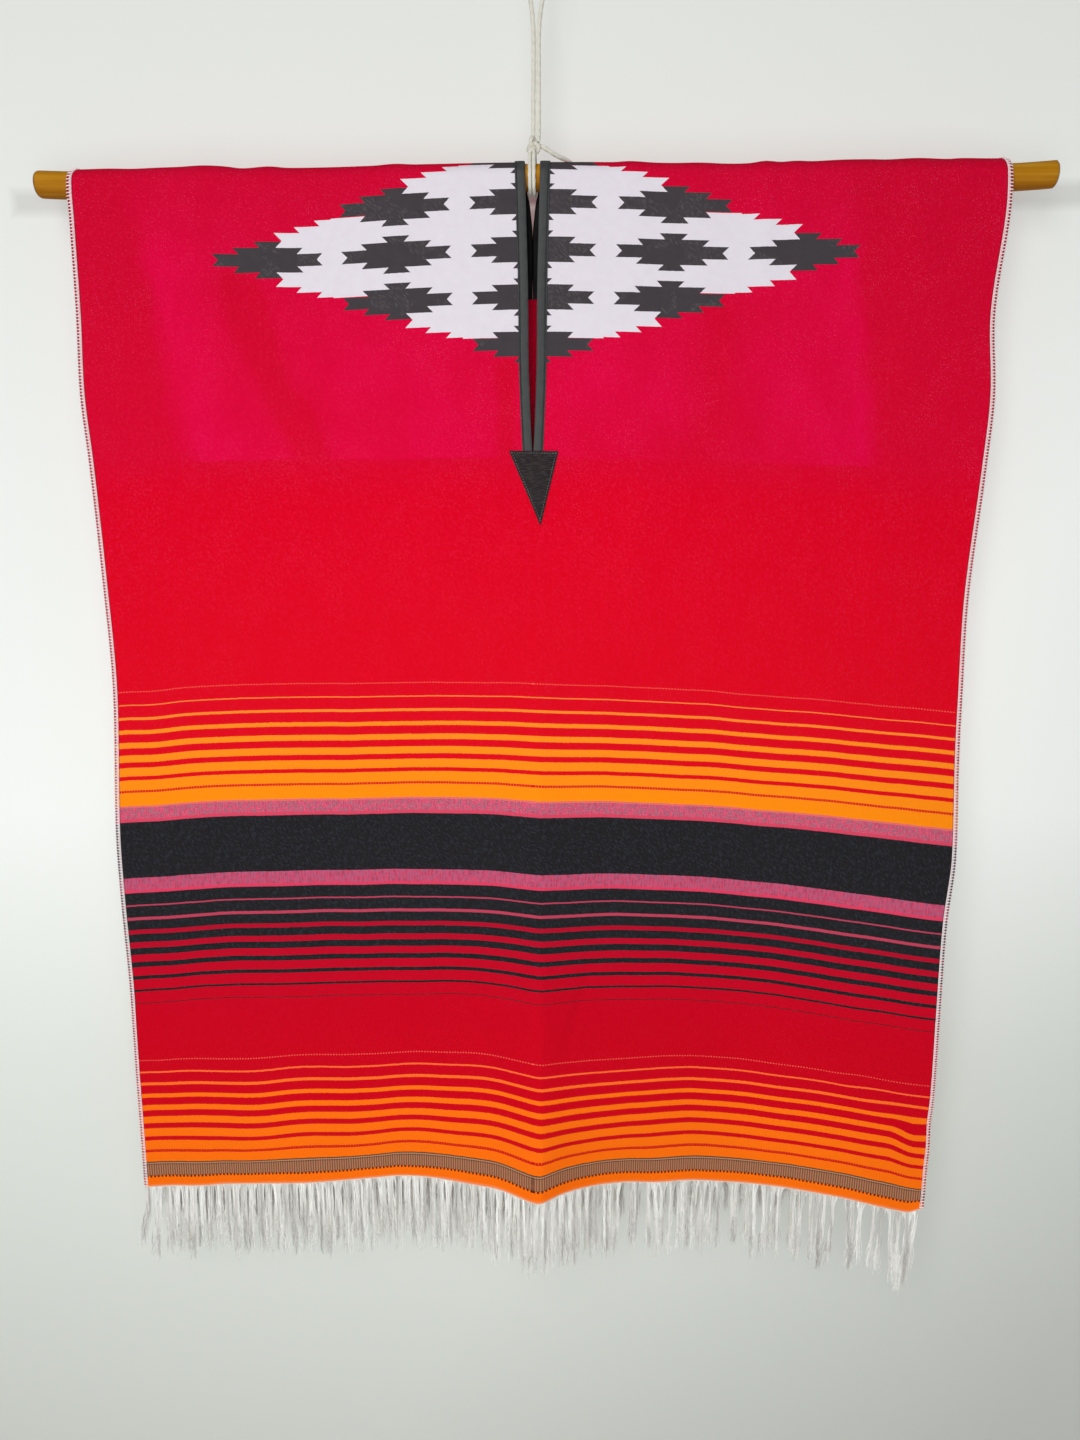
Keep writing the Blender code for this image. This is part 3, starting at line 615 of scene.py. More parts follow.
def mapDown(across, drop, face):  # the distance down the cloth from its fold
    foldDrop = cloth["foldDrop"]
    arc, more = cloth["overRod"]
    along = np.where(drop < foldDrop, drop * arc / foldDrop, drop + more)
    shift = readCurve(*zip(*printShift), across) * (1.0 - smooth(drop / cloth["printFade"]))
    shift = shift + readCurve(*zip(*foldShift), across) * (1.0 - smooth(along / cloth["foldShift"]))
    if face == front:
        places, upper, lower = zip(*stripeShift)
        high, low, end = (smooth((along - start) / reach) for start, reach in cloth["stripeSpans"])
        shift = shift + readCurve(places, upper, across) * high * (1.0 - low)
        shift = shift + readCurve(places, lower, across) * low * (1.0 - end)
        amount, middle, above, below, edge, reach = cloth["cornerKink"]  # stripes bend at the curled corner
        kink = np.exp(-((along - middle) / np.where(along < middle, above, below)) ** 2)
        shift = shift + amount * kink * smooth((across - edge) / reach)
    return -face * along - shift


def shell(name, inner, outer, keep, finish, face, places=None):
    rows, columns = inner.shape[:2]
    count = rows * columns
    index = np.arange(count).reshape(rows, columns)
    quads = np.stack([index[:-1, :-1], index[1:, :-1], index[1:, 1:], index[:-1, 1:]], axis=-1)[keep]
    if face == back:
        quads = quads[:, ::-1]
    start, end = quads.ravel(), np.roll(quads, -1, axis=1).ravel()
    rim = ~np.isin(start * count + end, end * count + start)
    start, end = start[rim], end[rim]
    walls = np.stack([end + count, start + count, start, end], axis=-1)
    faces = np.concatenate([quads + count, quads[:, ::-1], walls])
    points = np.concatenate([inner.reshape(-1, 3), outer.reshape(-1, 3)])
    piece = addMesh(name, points, faces.tolist(), finish, normals=False)
    if places is not None:
        setMap(piece, np.tile(places.reshape(-1, 2), (2, 1)))
    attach(piece, "root")
    return piece


# the weave: distances in metres down the cloth from the fold
weave = {
    "pitch": 0.0022, "halfCut": (0.4925, 0.0060), "pressed": (-0.053, 0.149, 0.382, 0.320, 0.38),
    "creaseHighlightsAndShade": (
        ((-0.318, 0.130), (-0.238, 0.330), 0.020, -0.62), ((-0.400, 0.100), (-0.355, 0.300), 0.036, 0.34),
        ((-0.190, 0.215), (-0.090, 0.300), 0.045, 0.26), ((0.060, 0.240), (0.125, 0.262), 0.042, 0.36),
        ((0.345, 0.120), (0.366, 0.300), 0.016, 0.36), ((0.200, 0.170), (0.170, 0.330), 0.030, -0.30),
        ((-0.024, 0.225), (-0.027, 0.320), 0.010, -0.60), ((0.250, 0.215), (0.318, 0.300), 0.040, 0.22),
    ),
    "print": {"middle": 0.1016, "spacing": 0.0704, "row": 0.0488},
    "blackBands": ((0.0065, 0.0600), (0.0130, 0.0383), (0.0192, 0.0149)),
    "whiteBands": ((0.0083, 0.0629), (0.0144, 0.0407), (0.0204, 0.0182)),
    "whiteLozenges": ((0.0704, 0.0690), (0.2112, 0.0201)),
    "whiteBlocks": ((0.0704, 0.0908), (0.1333, 0.0614), (0.2112, 0.0415), (0.2740, 0.0118)),
    # graded lines: first, pitch, count, width, growth; then the solid band's end and the dotted gap
    "oranges": (((0.5864, 0.0157, 8, 0.0013, 0.00178), 0.7052, (0.0100, 0.0060)),
                ((1.0374, 0.01557, 8, 0.0022, 0.00154), 2.1829, (0.0105, 0.0075))),
    "reds": (0.8257, 0.0163, 9, 0.0018, 0.00182), "mauve": (0.7052, 0.7246), "black": (0.7246, 0.9545),
    "pink": (0.7921, 0.8104), "taupe": (1.1519, 1.1700), "hem": 1.1829, "dottedRows": (0.5708, 1.0218),
    # dots: pitch and dark share; selvedge: where its pale part starts, and ends above and below
    "gapDots": (0.0032, 0.84), "rowDots": (0.0034, 0.5), "footDots": (0.0046, 0.5),
    "selvedge": (0.0022, 0.0050, 0.0038),
}


def ponchoTwill(sizes):
    material, shader, place = newMaterial("ponchoTwill", 0.9, mapped=True, Specular_IOR_Level=0.05)
    across, down, _ = parts(place)
    aside = abs(across)
    threads = (noise(place, (520.0, 90.0, 1.0), 1.0) - 0.5) * 0.0011
    drift = (noise(place, (16.0, 5.0, 1.0), 1.0, 4.0) - 0.5) * 0.0022
    level = abs(down) + (threads + drift)

    def band(start, end):
        return (level > start) * (level < end)

    def graded(first, pitch, count, width, growth):  # lines that widen one after another
        index = calc("FLOOR", (level - first) / pitch + 0.5)
        offset = abs(level - first - index * pitch)
        half = index * (growth / 2) + width / 2
        return (offset < half) * ((index > -0.5) * (index < count - 0.5))

    def dots(pitch, share):
        return calc("PINGPONG", across, pitch / 2) < share * pitch / 2

    def lozenge(dx, dy, bands):  # three stacked bars with slanted ends
        return reduce(most, [(dy < height) * (dx - dy < half - height) for height, half in bands])

    # twill lines run down to the right, with specks of lighter yarn
    slant = down - across
    twill = calc("SINE", slant * (2 * math.pi / sizes["pitch"])) * 0.5 + 0.5
    turned = addNode(place.id_data, "ShaderNodeCombineXYZ", {0: slant, 1: down + across}).outputs[0]
    streak = noise(turned, (760.0, 130.0, 1.0))
    specks = noise(place, (760.0, 760.0, 1.0), 1.0, 2.0)
    raised = (streak > 0.56) * (twill > 0.45)
    depth = abs(down) / 1.2
    red = ramp(depth, (0.0, linear(210, 4, 48)), (0.26, linear(220, 3, 46)), (0.30, linear(226, 0, 34)),
               (0.47, linear(229, 6, 30)), (0.56, linear(230, 12, 26)), (0.66, linear(150, 22, 58)),
               (0.70, linear(172, 18, 46)), (0.75, linear(196, 8, 38)), (0.80, linear(206, 2, 30)),
               (0.90, linear(211, 4, 24)), (1.0, linear(208, 20, 20)))

    # the heat press left a pinker field round the print, over the creases it carries painted highlight and
    # painted shade
    soft = noise(place, (7.0, 5.0, 1.0), 3.0, 12.0) - 0.5
    mottle = noise(place, (24.0, 17.0, 1.0), 4.0, 5.0) - 0.5
    middle, slope, half, foot, share = sizes["pressed"]
    outward = abs(across - (down * slope + middle)) + mottle * 0.05
    pressed = eased(outward, half + 0.006, half - 0.018) * eased(down, -0.01, 0.11)
    pressed = pressed * eased(down + mottle * 0.004, foot + 0.0014, foot - 0.0014)

    def stroke(start, end, width):  # soft and uneven, along a line
        long = math.dist(start, end)
        x, y = (end[0] - start[0]) / long, (end[1] - start[1]) / long
        dx, dy = across - start[0], down - start[1]
        along = dx * x + dy * y
        off = (dx * y - dy * x + soft * width) / width
        beyond = most(most(along * -1.0, along - long), 0.0) / width
        return calc("EXPONENT", (off ** 2.0 + beyond ** 2.0) * -1.0)

    share = soft * 0.9 + (mottle * 0.7 + share)
    # painted highlight and shade: the pink field is lighter where creases bulge and darker in their troughs
    for start, end, width, strength in sizes["creaseHighlightsAndShade"]:
        share = share + stroke(start, end, width) * strength
    upperCloth = eased(down, 0.42, 0.72, 0.34, 0.08)
    colour = painted(
        red, (pressed * least(most(share, 0.0), 1.0), linear(234, 2, 74)),
        ((1.0 - twill) * 0.26, linear(150, 0, 22)), (raised * upperCloth, linear(250, 24, 88)),
        ((mottle * 0.16 + specks > 0.69) * upperCloth, linear(255, 104, 146)))

    # the stepped diamond, printed over the twill
    rules = sizes["print"]
    ragged = (noise(place, (700.0, 700.0, 1.0), 1.0, 8.0) - 0.5) * 0.0008
    x, y = aside + ragged, abs(down - rules["middle"]) + ragged
    pale = [(x < a) * (y < b) for a, b in sizes["whiteBlocks"]]
    pale += [lozenge(abs(x - a), abs(y - b), sizes["whiteBands"]) for a, b in sizes["whiteLozenges"]]
    pale = reduce(most, pale)
    wide, tall = 2 * rules["spacing"], rules["row"]
    steps = calc("FLOOR", x / wide + 0.5) + calc("FLOOR", y / tall + 0.5)
    dark = lozenge(calc("PINGPONG", x, wide / 2), calc("PINGPONG", y, tall / 2), sizes["blackBands"])
    dark = (steps < 2.5) * dark
    printed = most(pale, dark)
    # uneven ink tone, whose lighter patches on the black also stand in for painted sheen
    tone = noise(place, (90.0, 90.0, 1.0), 3.0, 1.0) * 0.22
    worn = raised * (noise(place, (20.0, 24.0, 1.0), 2.0, 3.0) > 0.52) * 0.5
    white = painted(linear(230, 223, 232), (tone, linear(190, 178, 196)))
    black = painted(linear(62, 57, 61), (tone, linear(98, 90, 96)), (worn, linear(112, 106, 104)))
    colour = painted(colour, (pale, white), (dark, black))

    # orange lines, each a little wider than the last, with a dotted gap before the solid band
    orange = ramp(depth, (0.48, linear(255, 124, 66)), (0.51, linear(255, 138, 34)),
                  (0.585, linear(255, 140, 10)), (0.86, linear(255, 100, 56)), (0.89, linear(255, 112, 16)),
                  (1.0, linear(250, 106, 4)))
    orange = mix(twill * 0.12, orange, linear(255, 152, 40))
    for lines, end, (near, far) in sizes["oranges"]:
        first, pitch, count = lines[:3]
        last = first + pitch * (count - 1)
        filled = most(graded(*lines), band(last, end))
        dotted = band(last - near, last - far) * (1.0 - dots(*sizes["gapDots"]))
        colour = mix(most(filled, dotted), colour, orange)
    for row in sizes["dottedRows"]:
        dotted = band(row - 0.0007, row + 0.0007) * dots(*sizes["rowDots"])
        colour = mix(dotted * 0.7, colour, linear(255, 110, 90))

    # black with reds that widen, between a mauve band and a pink one
    darkTwill = painted(linear(33, 32, 35), (raised * 0.42, linear(70, 78, 94)),
                        ((specks > 0.66) * 0.3, linear(84, 66, 48)))
    flecks = noise(place, (620.0, 70.0, 1.0), 2.0, 6.0) > 0.52
    clouds = noise(place, (170.0, 240.0, 1.0), 3.0, 7.0)
    start, end = sizes["mauve"]
    mauve = painted(
        linear(218, 80, 112), (flecks, linear(184, 76, 106)), ((clouds > 0.52) * 0.75, linear(160, 100, 118)),
        ((specks > 0.60) * 0.5, linear(236, 140, 160)),
        (band(start, start + 0.0022) * 0.7, linear(244, 116, 104)),
        (band(end - 0.004, end) * 0.8, linear(222, 64, 92)))
    end = sizes["pink"][1]
    pink = painted(
        linear(206, 76, 108), (flecks, linear(172, 70, 98)), ((clouds > 0.5) * 0.5, linear(170, 96, 130)),
        (band(end - 0.0038, end) * 0.8, linear(228, 58, 92)))
    first, pitch = sizes["reds"][:2]
    colour = painted(
        colour, (band(first - pitch / 2, first + pitch * 1.5) * 0.42, linear(206, 96, 124)),
        (band(*sizes["black"]) * (1.0 - graded(*sizes["reds"])), darkTwill),
        (band(*sizes["mauve"]), mauve), (band(*sizes["pink"]), pink))

    # the ribbed taupe band over the hem
    start, end = sizes["taupe"]
    ribs = calc("PINGPONG", across, 0.00145) < 0.00075
    taupe = painted(
        linear(178, 124, 88), (ribs * 0.8, linear(98, 62, 48)), ((clouds > 0.55) * 0.2, linear(186, 92, 98)),
        (band(start, start + 0.0014), linear(88, 68, 46)),
        (band(start + 0.0017, start + 0.0027) * 0.55, linear(206, 164, 138)),
        (band(start + 0.0031, start + 0.0042) * 0.7, linear(80, 52, 44)))
    under = band(end - 0.0004, end + 0.0022) * dots(*sizes["footDots"])
    under = most(under, band(end - 0.0009, end + 0.0001) * 0.3)
    fade = eased(level, sizes["hem"] - 0.0026, sizes["hem"] + 0.0008, 0.0, 0.7)
    colour = painted(colour, (band(start, end), taupe), (under * 0.92, linear(58, 18, 12)),
                     (fade, linear(248, 164, 122)))

    # overcast sides, pale with the yarn and whiter beside the black
    inset = (across > 0.0) * sizes["halfCut"][1] + sizes["halfCut"][0] - aside
    rim, wide, narrow = sizes["selvedge"]
    seen = eased(level, 0.95, 1.14, wide, narrow)
    yarn = mix(band(*sizes["black"]), linear(255, 226, 230), linear(232, 238, 236))
    # painted shade: a dark line along the inner edge of the overcast stitches
    colour = painted(colour, ((inset < seen + 0.0010) * 0.5, linear(48, 8, 22)),
                     ((inset < seen) * (inset > rim) * 0.72, yarn))

    feed(shader, "Base Color", colour)
    feed(shader, "Roughness", printed * -0.16 + 0.88)
    bump(shader, (twill + streak * 0.8) * (printed * -0.55 + 1.0), 0.5, 0.0004)
    return material


twillCloth = ponchoTwill(weave)


def makeCloth(name, face, node):
    drops = dropsDown(face, cloth["hemDrop"], cloth["rowStep"][face])
    drops[0] = cloth["foldDrop"] * (2.0 / math.pi) * (cloth["gap"] / 2.0) / cloth["innerRadius"]
    shares = np.arange(cloth["columns"][face] + 1) / cloth["columns"][face]
    shares = shares + 0.35 * shares * (shares - 1.0) * (0.8 - shares)  # closer by the slit and the side
    slit = slitOpening(drops, face)[:, None] + cloth["leather"] + cloth["gap"]
    left = readCurve(sides["drops"], sides["left"], drops)[:, None]
    right = readCurve(sides["drops"], sides["right"], drops)[:, None]
    leftHalf, rightHalf = -slit + (left + slit) * shares, slit + (right - slit) * shares
    across = np.concatenate([leftHalf[:, ::-1], rightHalf], axis=1)
    drop = np.broadcast_to(drops[:, None], across.shape)
    middle = len(shares) - 1
    keep = np.ones((len(drops) - 1, across.shape[1] - 1), bool)
    keep[drops[:-1] < cloth["slitEnd"][face] - 1e-4, middle] = False
    mapAcross = np.concatenate([-cloth["halfCut"][0] * shares[::-1], cloth["halfCut"][1] * shares])
    fade = 1.0 - smooth(drop / cloth["acrossFade"])
    mapAcross = mapAcross - readCurve(*zip(*acrossShift), mapAcross) * fade
    places = np.stack([mapAcross, mapDown(mapAcross, drop, face)], axis=-1)
    piece = shell(name, clothPoint(across, drop, face), clothPoint(across, drop, face, cloth["wall"]), keep,
                  twillCloth, face, places)
    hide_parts(node)
    return piece


print("cloth")
clothFront = makeCloth("clothFront", front, "front_panel")
clothBack = makeCloth("clothBack", back, "back_panel")


# black imitation leather: the folded strips round the slit and the arrowhead patch
print("bindings and patch")
trim = {
    "width": 0.0110, "ease": 0.0005, "crown": 0.00025, "step": 0.0045, "seam": 0.0094, "seamDepth": 0.0005,
    "spans": (0.0007, 0.0022, 0.0040, 0.0058, 0.0074, 0.0086, 0.0094, 0.0101, 0.0107),
}
patch = {
    "top": 0.3034, "length": 0.081, "left": -0.0265, "right": 0.0286, "tip": 0.0086, "tipShare": 0.015,
    "wall": 0.0011, "rows": 44, "columns": 30, "seam": 0.0024, "seamWidth": 0.0007, "seamDepth": 0.0003,
    "bevel": 0.0016, "wrinkle": 0.00017,
}


def leatherFinish(name, wrinkled):
    material, shader, place = newMaterial(name, 0.42)
    cells = {"Vector": place, "Scale": 900.0}
    grain = Term(addNode(place.id_data, "ShaderNodeTexVoronoi", cells, feature="SMOOTH_F1").outputs[0])
    rubbed = noise(place, (120.0, 120.0, 120.0), 3.0)
    wrinklesAndHighlights = noise(place, (130.0, 130.0, 1300.0), 3.0, 2.0)
    if wrinkled:
        colour = mix(rubbed, linear(18, 12, 14), linear(38, 29, 31))
        # painted highlight: the fine wrinkles drawn as lighter lines, the same pattern also bumps them
        colour = mix((wrinklesAndHighlights > 0.56) * 0.34, colour, linear(86, 74, 76))
    else:
        colour = mix(rubbed, linear(36, 37, 38), linear(66, 68, 69))
    inside = eased(parts(place)[1], -0.012, 0.004)  # painted shade: blacker, with less specular, where it turns inside and behind into the slit's shadow
    feed(shader, "Base Color", mix(inside, colour, linear(9, 7, 9)))
    feed(shader, "Specular IOR Level", inside * -0.2 + (0.12 if wrinkled else 0.30))
    feed(shader, "Roughness", rubbed * 0.25 + 0.34)
    bump(shader, grain + wrinklesAndHighlights * (1.6 if wrinkled else 0.5), 0.35, 0.0004)
    return material


def stations(step):  # from the slit's front end, over the rod, to its back end
    ahead = dropsDown(front, cloth["slitEnd"][front] - cloth["gap"], step)[::-1]
    behind = dropsDown(back, cloth["slitEnd"][back] - cloth["gap"], step)[1:]
    return ahead, behind


def makeBinding(side, finish, sizes):
    sign = -1 if side == "Left" else 1
    width, ease, wall = sizes["width"], sizes["ease"], cloth["wall"]
    leather, gap = cloth["leather"], cloth["gap"]
    inside, outside = -gap - leather, wall + gap + leather
    spans = np.array(sizes["spans"])
    crown = sizes["crown"] * np.sin(math.pi * np.minimum(spans / sizes["seam"], 1.0))
    crown[spans == sizes["seam"]] -= sizes["seamDepth"]
    section = [(0.0, inside + ease), (0.0001, inside + ease * 0.45), (0.0004, inside + 0.00005)]
    section += [(a, inside - c) for a, c in zip(spans, crown)]
    section += [(width, inside + 0.0002), (width, -gap), (leather, -gap), (leather, wall + gap)]
    section += [(width, wall + gap), (width, outside - 0.0002)]
    section += [(a, outside + c) for a, c in zip(spans[::-1], crown[::-1])]
    section += [(0.0004, outside - 0.00005), (0.0001, outside - ease * 0.45), (0.0, outside - ease)]
    acrossList, depths = np.array(section).T
    rings = []
    for drops, face in zip(stations(sizes["step"]), (front, back)):
        across = sign * (slitOpening(drops, face)[:, None] + acrossList)
        rings.append(clothPoint(across, drops[:, None], face, depths))
    points = np.concatenate(rings)
    piece = addMesh("neckBinding" + side, points, loftFaces(len(points), len(section)), finish)
    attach(piece, "root")
    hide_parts("neck_binding_" + side.lower())
    return piece


def patchEdge(share, side, sizes):
    width = 1.0 - share * (1.0 - sizes["tipShare"])
    return sizes["tip"] + (sizes[side] - sizes["tip"]) * width


def makePatch(finish, sizes):
    shares = np.linspace(0.0, 1.0, sizes["rows"] + 1)[:, None]
    steps = np.linspace(0.0, 1.0, sizes["columns"] + 1)[None, :]
    left, right = patchEdge(shares, "left", sizes), patchEdge(shares, "right", sizes)
    across = left + (right - left) * steps
    drop = sizes["top"] + sizes["length"] * shares + 0.0 * steps
    base = cloth["wall"] + cloth["gap"]
    rim = np.minimum(np.minimum(across - left, right - across), drop - sizes["top"])
    inside = smooth(rim / sizes["bevel"])
    seam = sizes["seamDepth"] * np.exp(-((rim - sizes["seam"]) / sizes["seamWidth"]) ** 2)
    wrinkles = softNoise(across * 55.0, drop * 420.0, 21) + 0.6 * softNoise(across * 160.0, drop * 700.0, 22)
    top = base + sizes["wall"] * (0.72 + 0.28 * inside) - seam + sizes["wrinkle"] * wrinkles * inside
    keep = np.ones((sizes["rows"], sizes["columns"]), bool)
    under, over = clothPoint(across, drop, front, base), clothPoint(across, drop, front, top)
    piece = shell("arrowPatch", under, over, keep, finish, front)
    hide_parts("front_arrowhead")
    return piece


stripLeather = leatherFinish("stripLeather", False)
for bindingSide in ("Left", "Right"):
    makeBinding(bindingSide, stripLeather, trim)
arrowPatch = makePatch(leatherFinish("patchLeather", True), patch)


# trees that repeat a thread along a guide line, or hang threads from the hem
def startTree(name, **sizes):
    tree = bpy.data.node_groups.new(name, "GeometryNodeTree")
    kinds = {float: "NodeSocketFloat", int: "NodeSocketInt"}
    tree.interface.new_socket("Geometry", in_out="INPUT", socket_type="NodeSocketGeometry")
    for label, value in sizes.items():
        socket = tree.interface.new_socket(label, in_out="INPUT", socket_type=kinds[type(value)])
        socket.default_value = value
    tree.interface.new_socket("finish", in_out="INPUT", socket_type="NodeSocketMaterial")
    tree.interface.new_socket("Geometry", in_out="OUTPUT", socket_type="NodeSocketGeometry")
    return tree, tree.nodes.new("NodeGroupInput").outputs


def endTree(tree, geometry, given):
    real = addNode(tree, "GeometryNodeRealizeInstances", {"Geometry": geometry})
    dressing = {"Geometry": real.outputs[0], "Material": given["finish"]}
    dressed = addNode(tree, "GeometryNodeSetMaterial", dressing)
    tree.links.new(dressed.outputs[0], tree.nodes.new("NodeGroupOutput").inputs[0])
    return tree


def named(tree, name, kind="FLOAT_VECTOR"):
    return addNode(tree, "GeometryNodeInputNamedAttribute", {"Name": name}, data_type=kind).outputs[0]


def runTree(name, guide, tree, finish, values):
    modifier = guide.modifiers.new(tree.name, "NODES")
    modifier.node_group = tree
    for item in tree.interface.items_tree:
        if item.in_out == "INPUT" and item.name in values:
            modifier[item.identifier] = values[item.name]
        if item.in_out == "INPUT" and item.name == "finish":
            modifier[item.identifier] = finish
    graph = bpy.context.evaluated_depsgraph_get()
    mesh = bpy.data.meshes.new_from_object(guide.evaluated_get(graph), depsgraph=graph)
    guide.modifiers.remove(modifier)
    bpy.data.objects.remove(guide, do_unlink=True)
    mesh.name = name
    for layer in [a.name for a in mesh.attributes if a.data_type in ("FLOAT", "FLOAT_VECTOR")]:
        if layer != "position":
            mesh.attributes.remove(mesh.attributes[layer])
    piece = bpy.data.objects.new(name, mesh)
    scene.collection.objects.link(piece)
    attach(piece, "root")
    return piece


def guideLine(points, values, runs=None):  # lines of points, with named numbers or vectors on them
    mesh = bpy.data.meshes.new("guide")
    edges, start = [], 0
    for count in runs or [len(points)]:
        edges += [(start + i, start + i + 1) for i in range(count - 1)]
        start += count
    mesh.from_pydata(np.asarray(points).tolist(), edges, [])
    for name, rows in values.items():
        rows = np.asarray(rows, float)
        kind, field = ("FLOAT", "value") if rows.ndim == 1 else ("FLOAT_VECTOR", "vector")
        mesh.attributes.new(name, kind, "POINT").data.foreach_set(field, rows.ravel())
    guide = bpy.data.objects.new("guide", mesh)
    scene.collection.objects.link(guide)
    return guide


def stitchTree(name, thread, **sizes):  # threads laid along the guide, one every spacing
    tree, given = startTree(name, spacing=0.002, radius=0.0004, seed=3, **sizes)
    line = addNode(tree, "GeometryNodeMeshToCurve", {"Mesh": given["Geometry"]})
    even = addNode(tree, "GeometryNodeResampleCurve", {"Curve": line.outputs[0], "Length": given["spacing"]},
                   mode="LENGTH")
    axes = {0: named(tree, "outward"), 1: named(tree, "inward")}
    turned = addNode(tree, "FunctionNodeAxesToRotation", axes, primary_axis="Z", secondary_axis="X")
    limits = {"Min": (0.88, 0.9, 0.92), "Max": (1.1, 1.12, 1.06), "Seed": given["seed"]}
    size = addNode(tree, "FunctionNodeRandomValue", limits, data_type="FLOAT_VECTOR")
    threads = addNode(tree, "GeometryNodeInstanceOnPoints", {
        "Points": even.outputs[0], "Instance": thread(tree, given), "Rotation": turned.outputs[0],
        "Scale": size.outputs[0]})
    return endTree(tree, threads.outputs[0], given)


def dashThread(tree, given):  # a short thread along the line, sunk at both ends
    ball = addNode(tree, "GeometryNodeMeshUVSphere", {"Segments": 8, "Rings": 5, "Radius": 1.0})
    size = addNode(tree, "ShaderNodeCombineXYZ", {0: given["radius"], 1: given["half"], 2: given["radius"]})
    shape = {"Geometry": ball.outputs[0], "Scale": size.outputs[0]}
    return addNode(tree, "GeometryNodeTransform", shape).outputs[0]


def hoopThread(tree, given):  # a thread that wraps the cloth's edge from one side to the other
    def at(inward, outward):
        spot = {0: Term(given["reach"]) * inward, 2: Term(given["half"]) * outward}
        return addNode(tree, "ShaderNodeCombineXYZ", spot).outputs[0]
    bend = addNode(tree, "GeometryNodeCurvePrimitiveBezierSegment", {
        "Resolution": 7, "Start": at(1.0, 1.0), "Start Handle": at(-0.52, 1.32),
        "End Handle": at(-0.52, -1.32), "End": at(1.0, -1.0)}, mode="POSITION")
    ring = addNode(tree, "GeometryNodeCurvePrimitiveCircle", {"Resolution": 5, "Radius": given["radius"]})
    body = {"Curve": bend.outputs[0], "Profile Curve": ring.outputs[0], "Fill Caps": True}
    return addNode(tree, "GeometryNodeCurveToMesh", body).outputs[0]


def yarnFinish(name, light, dark, roughness=0.8):
    material, shader, place = newMaterial(name, roughness, Sheen_Weight=0.15)
    strands = noise(place, (900.0, 900.0, 220.0))
    feed(shader, "Base Color", mix(strands, dark, light))
    bump(shader, strands, 0.4, 0.0002)
    return material


print("stitches")
stitchSizes = {
    "hoops": {"spacing": 0.0034, "reach": 0.0044, "radius": 0.00068, "half": cloth["wall"] / 2 + 0.00068},
    "seam": {"spacing": 0.0024, "radius": 0.0004, "half": 0.00125, "seed": 5},
    "trim": {"spacing": 0.0036, "radius": 0.00046, "half": 0.0016},
    "patch": {"spacing": 0.0030, "radius": 0.0003, "half": 0.0012, "seed": 9},
    "guideStep": 0.006, "patchTopSpots": 20, "patchSideSpots": 30,
}
hoops = stitchTree("hoops", hoopThread, reach=0.004, half=0.0011)
dashes = stitchTree("dashes", dashThread, half=0.0014)
edgeYarn = yarnFinish("edgeYarn", linear(255, 244, 244), linear(240, 214, 218))
darkYarn = yarnFinish("darkYarn", linear(34, 34, 36), linear(14, 14, 16), 0.6)


def makeEdgeStitches(name, face, sizes):
    for side, sign in (("Left", -1), ("Right", 1)):
        drops = dropsDown(face, cloth["hemDrop"] - 0.001, sizes["guideStep"])[1:]
        places = readCurve(sides["drops"], sides[side.lower()], drops)
        axes = {"outward": clothNormal(places - sign * 0.002, drops, face),
                "inward": np.tile((-sign, 0.0, 0.0), (len(drops), 1))}
        middle = clothPoint(places, drops, face, cloth["wall"] / 2)
        inset = places - sign * sizes["hoops"]["reach"]
        outer = clothPoint(inset, drops, face, cloth["wall"] + sizes["seam"]["radius"])
        for kind, points, tree in (("hoops", middle, hoops), ("seam", outer, dashes)):
            guide = guideLine(points, axes)
            piece = runTree(name + side + kind.capitalize(), guide, tree, edgeYarn, sizes[kind])
            edgePieces[face].append(piece)


edgePieces = {front: [], back: []}
makeEdgeStitches("edgeFront", front, stitchSizes)
makeEdgeStitches("edgeBack", back, stitchSizes)


def makeTrimStitches(sizes):
    outside = cloth["wall"] + cloth["gap"] + cloth["leather"]
    for side, sign in (("Left", -1), ("Right", 1)):
        points, outward = [], []
        for drops, face in zip(stations(trim["step"]), (front, back)):
            across = sign * (slitOpening(drops, face) + trim["seam"])
            points.append(clothPoint(across, drops, face, outside + 0.00005))
            outward.append(clothNormal(across, drops, face))
        points = np.concatenate(points)
        axes = {"outward": np.concatenate(outward), "inward": np.tile((sign, 0.0, 0.0), (len(points), 1))}
        line = runTree("trimStitches" + side, guideLine(points, axes), dashes, darkYarn, sizes["trim"])


def makePatchStitches(sizes):
    base = cloth["wall"] + cloth["gap"] + patch["wall"] - 0.00015
    spots, topSpots = sizes["patchSideSpots"], sizes["patchTopSpots"]
    shares = np.linspace(patch["seam"] / patch["length"], 0.94, spots)
    points = []
    for side, sign in (("left", 1), ("right", -1)):
        across = patchEdge(shares, side, patch) + sign * patch["seam"]
        points.append(clothPoint(across, patch["top"] + patch["length"] * shares, front, base))
    across = np.linspace(patch["left"] + 0.003, patch["right"] - 0.003, topSpots)
    points.append(clothPoint(across, patch["top"] + patch["seam"], front, base))
    points = np.concatenate(points)
    inward = np.repeat([(1.0, 0.0, 0.0), (0.0, 0.0, -1.0)], (2 * spots, topSpots), axis=0)
    axes = {"outward": np.tile((0.0, -1.0, 0.0), (len(points), 1)), "inward": inward}
    guide = guideLine(points, axes, runs=(spots, spots, topSpots))
    patchYarn = yarnFinish("patchYarn", linear(128, 130, 132), linear(70, 72, 74), 0.6)
    runTree("patchStitches", guide, dashes, patchYarn, sizes["patch"])


makeTrimStitches(stitchSizes)
makePatchStitches(stitchSizes)


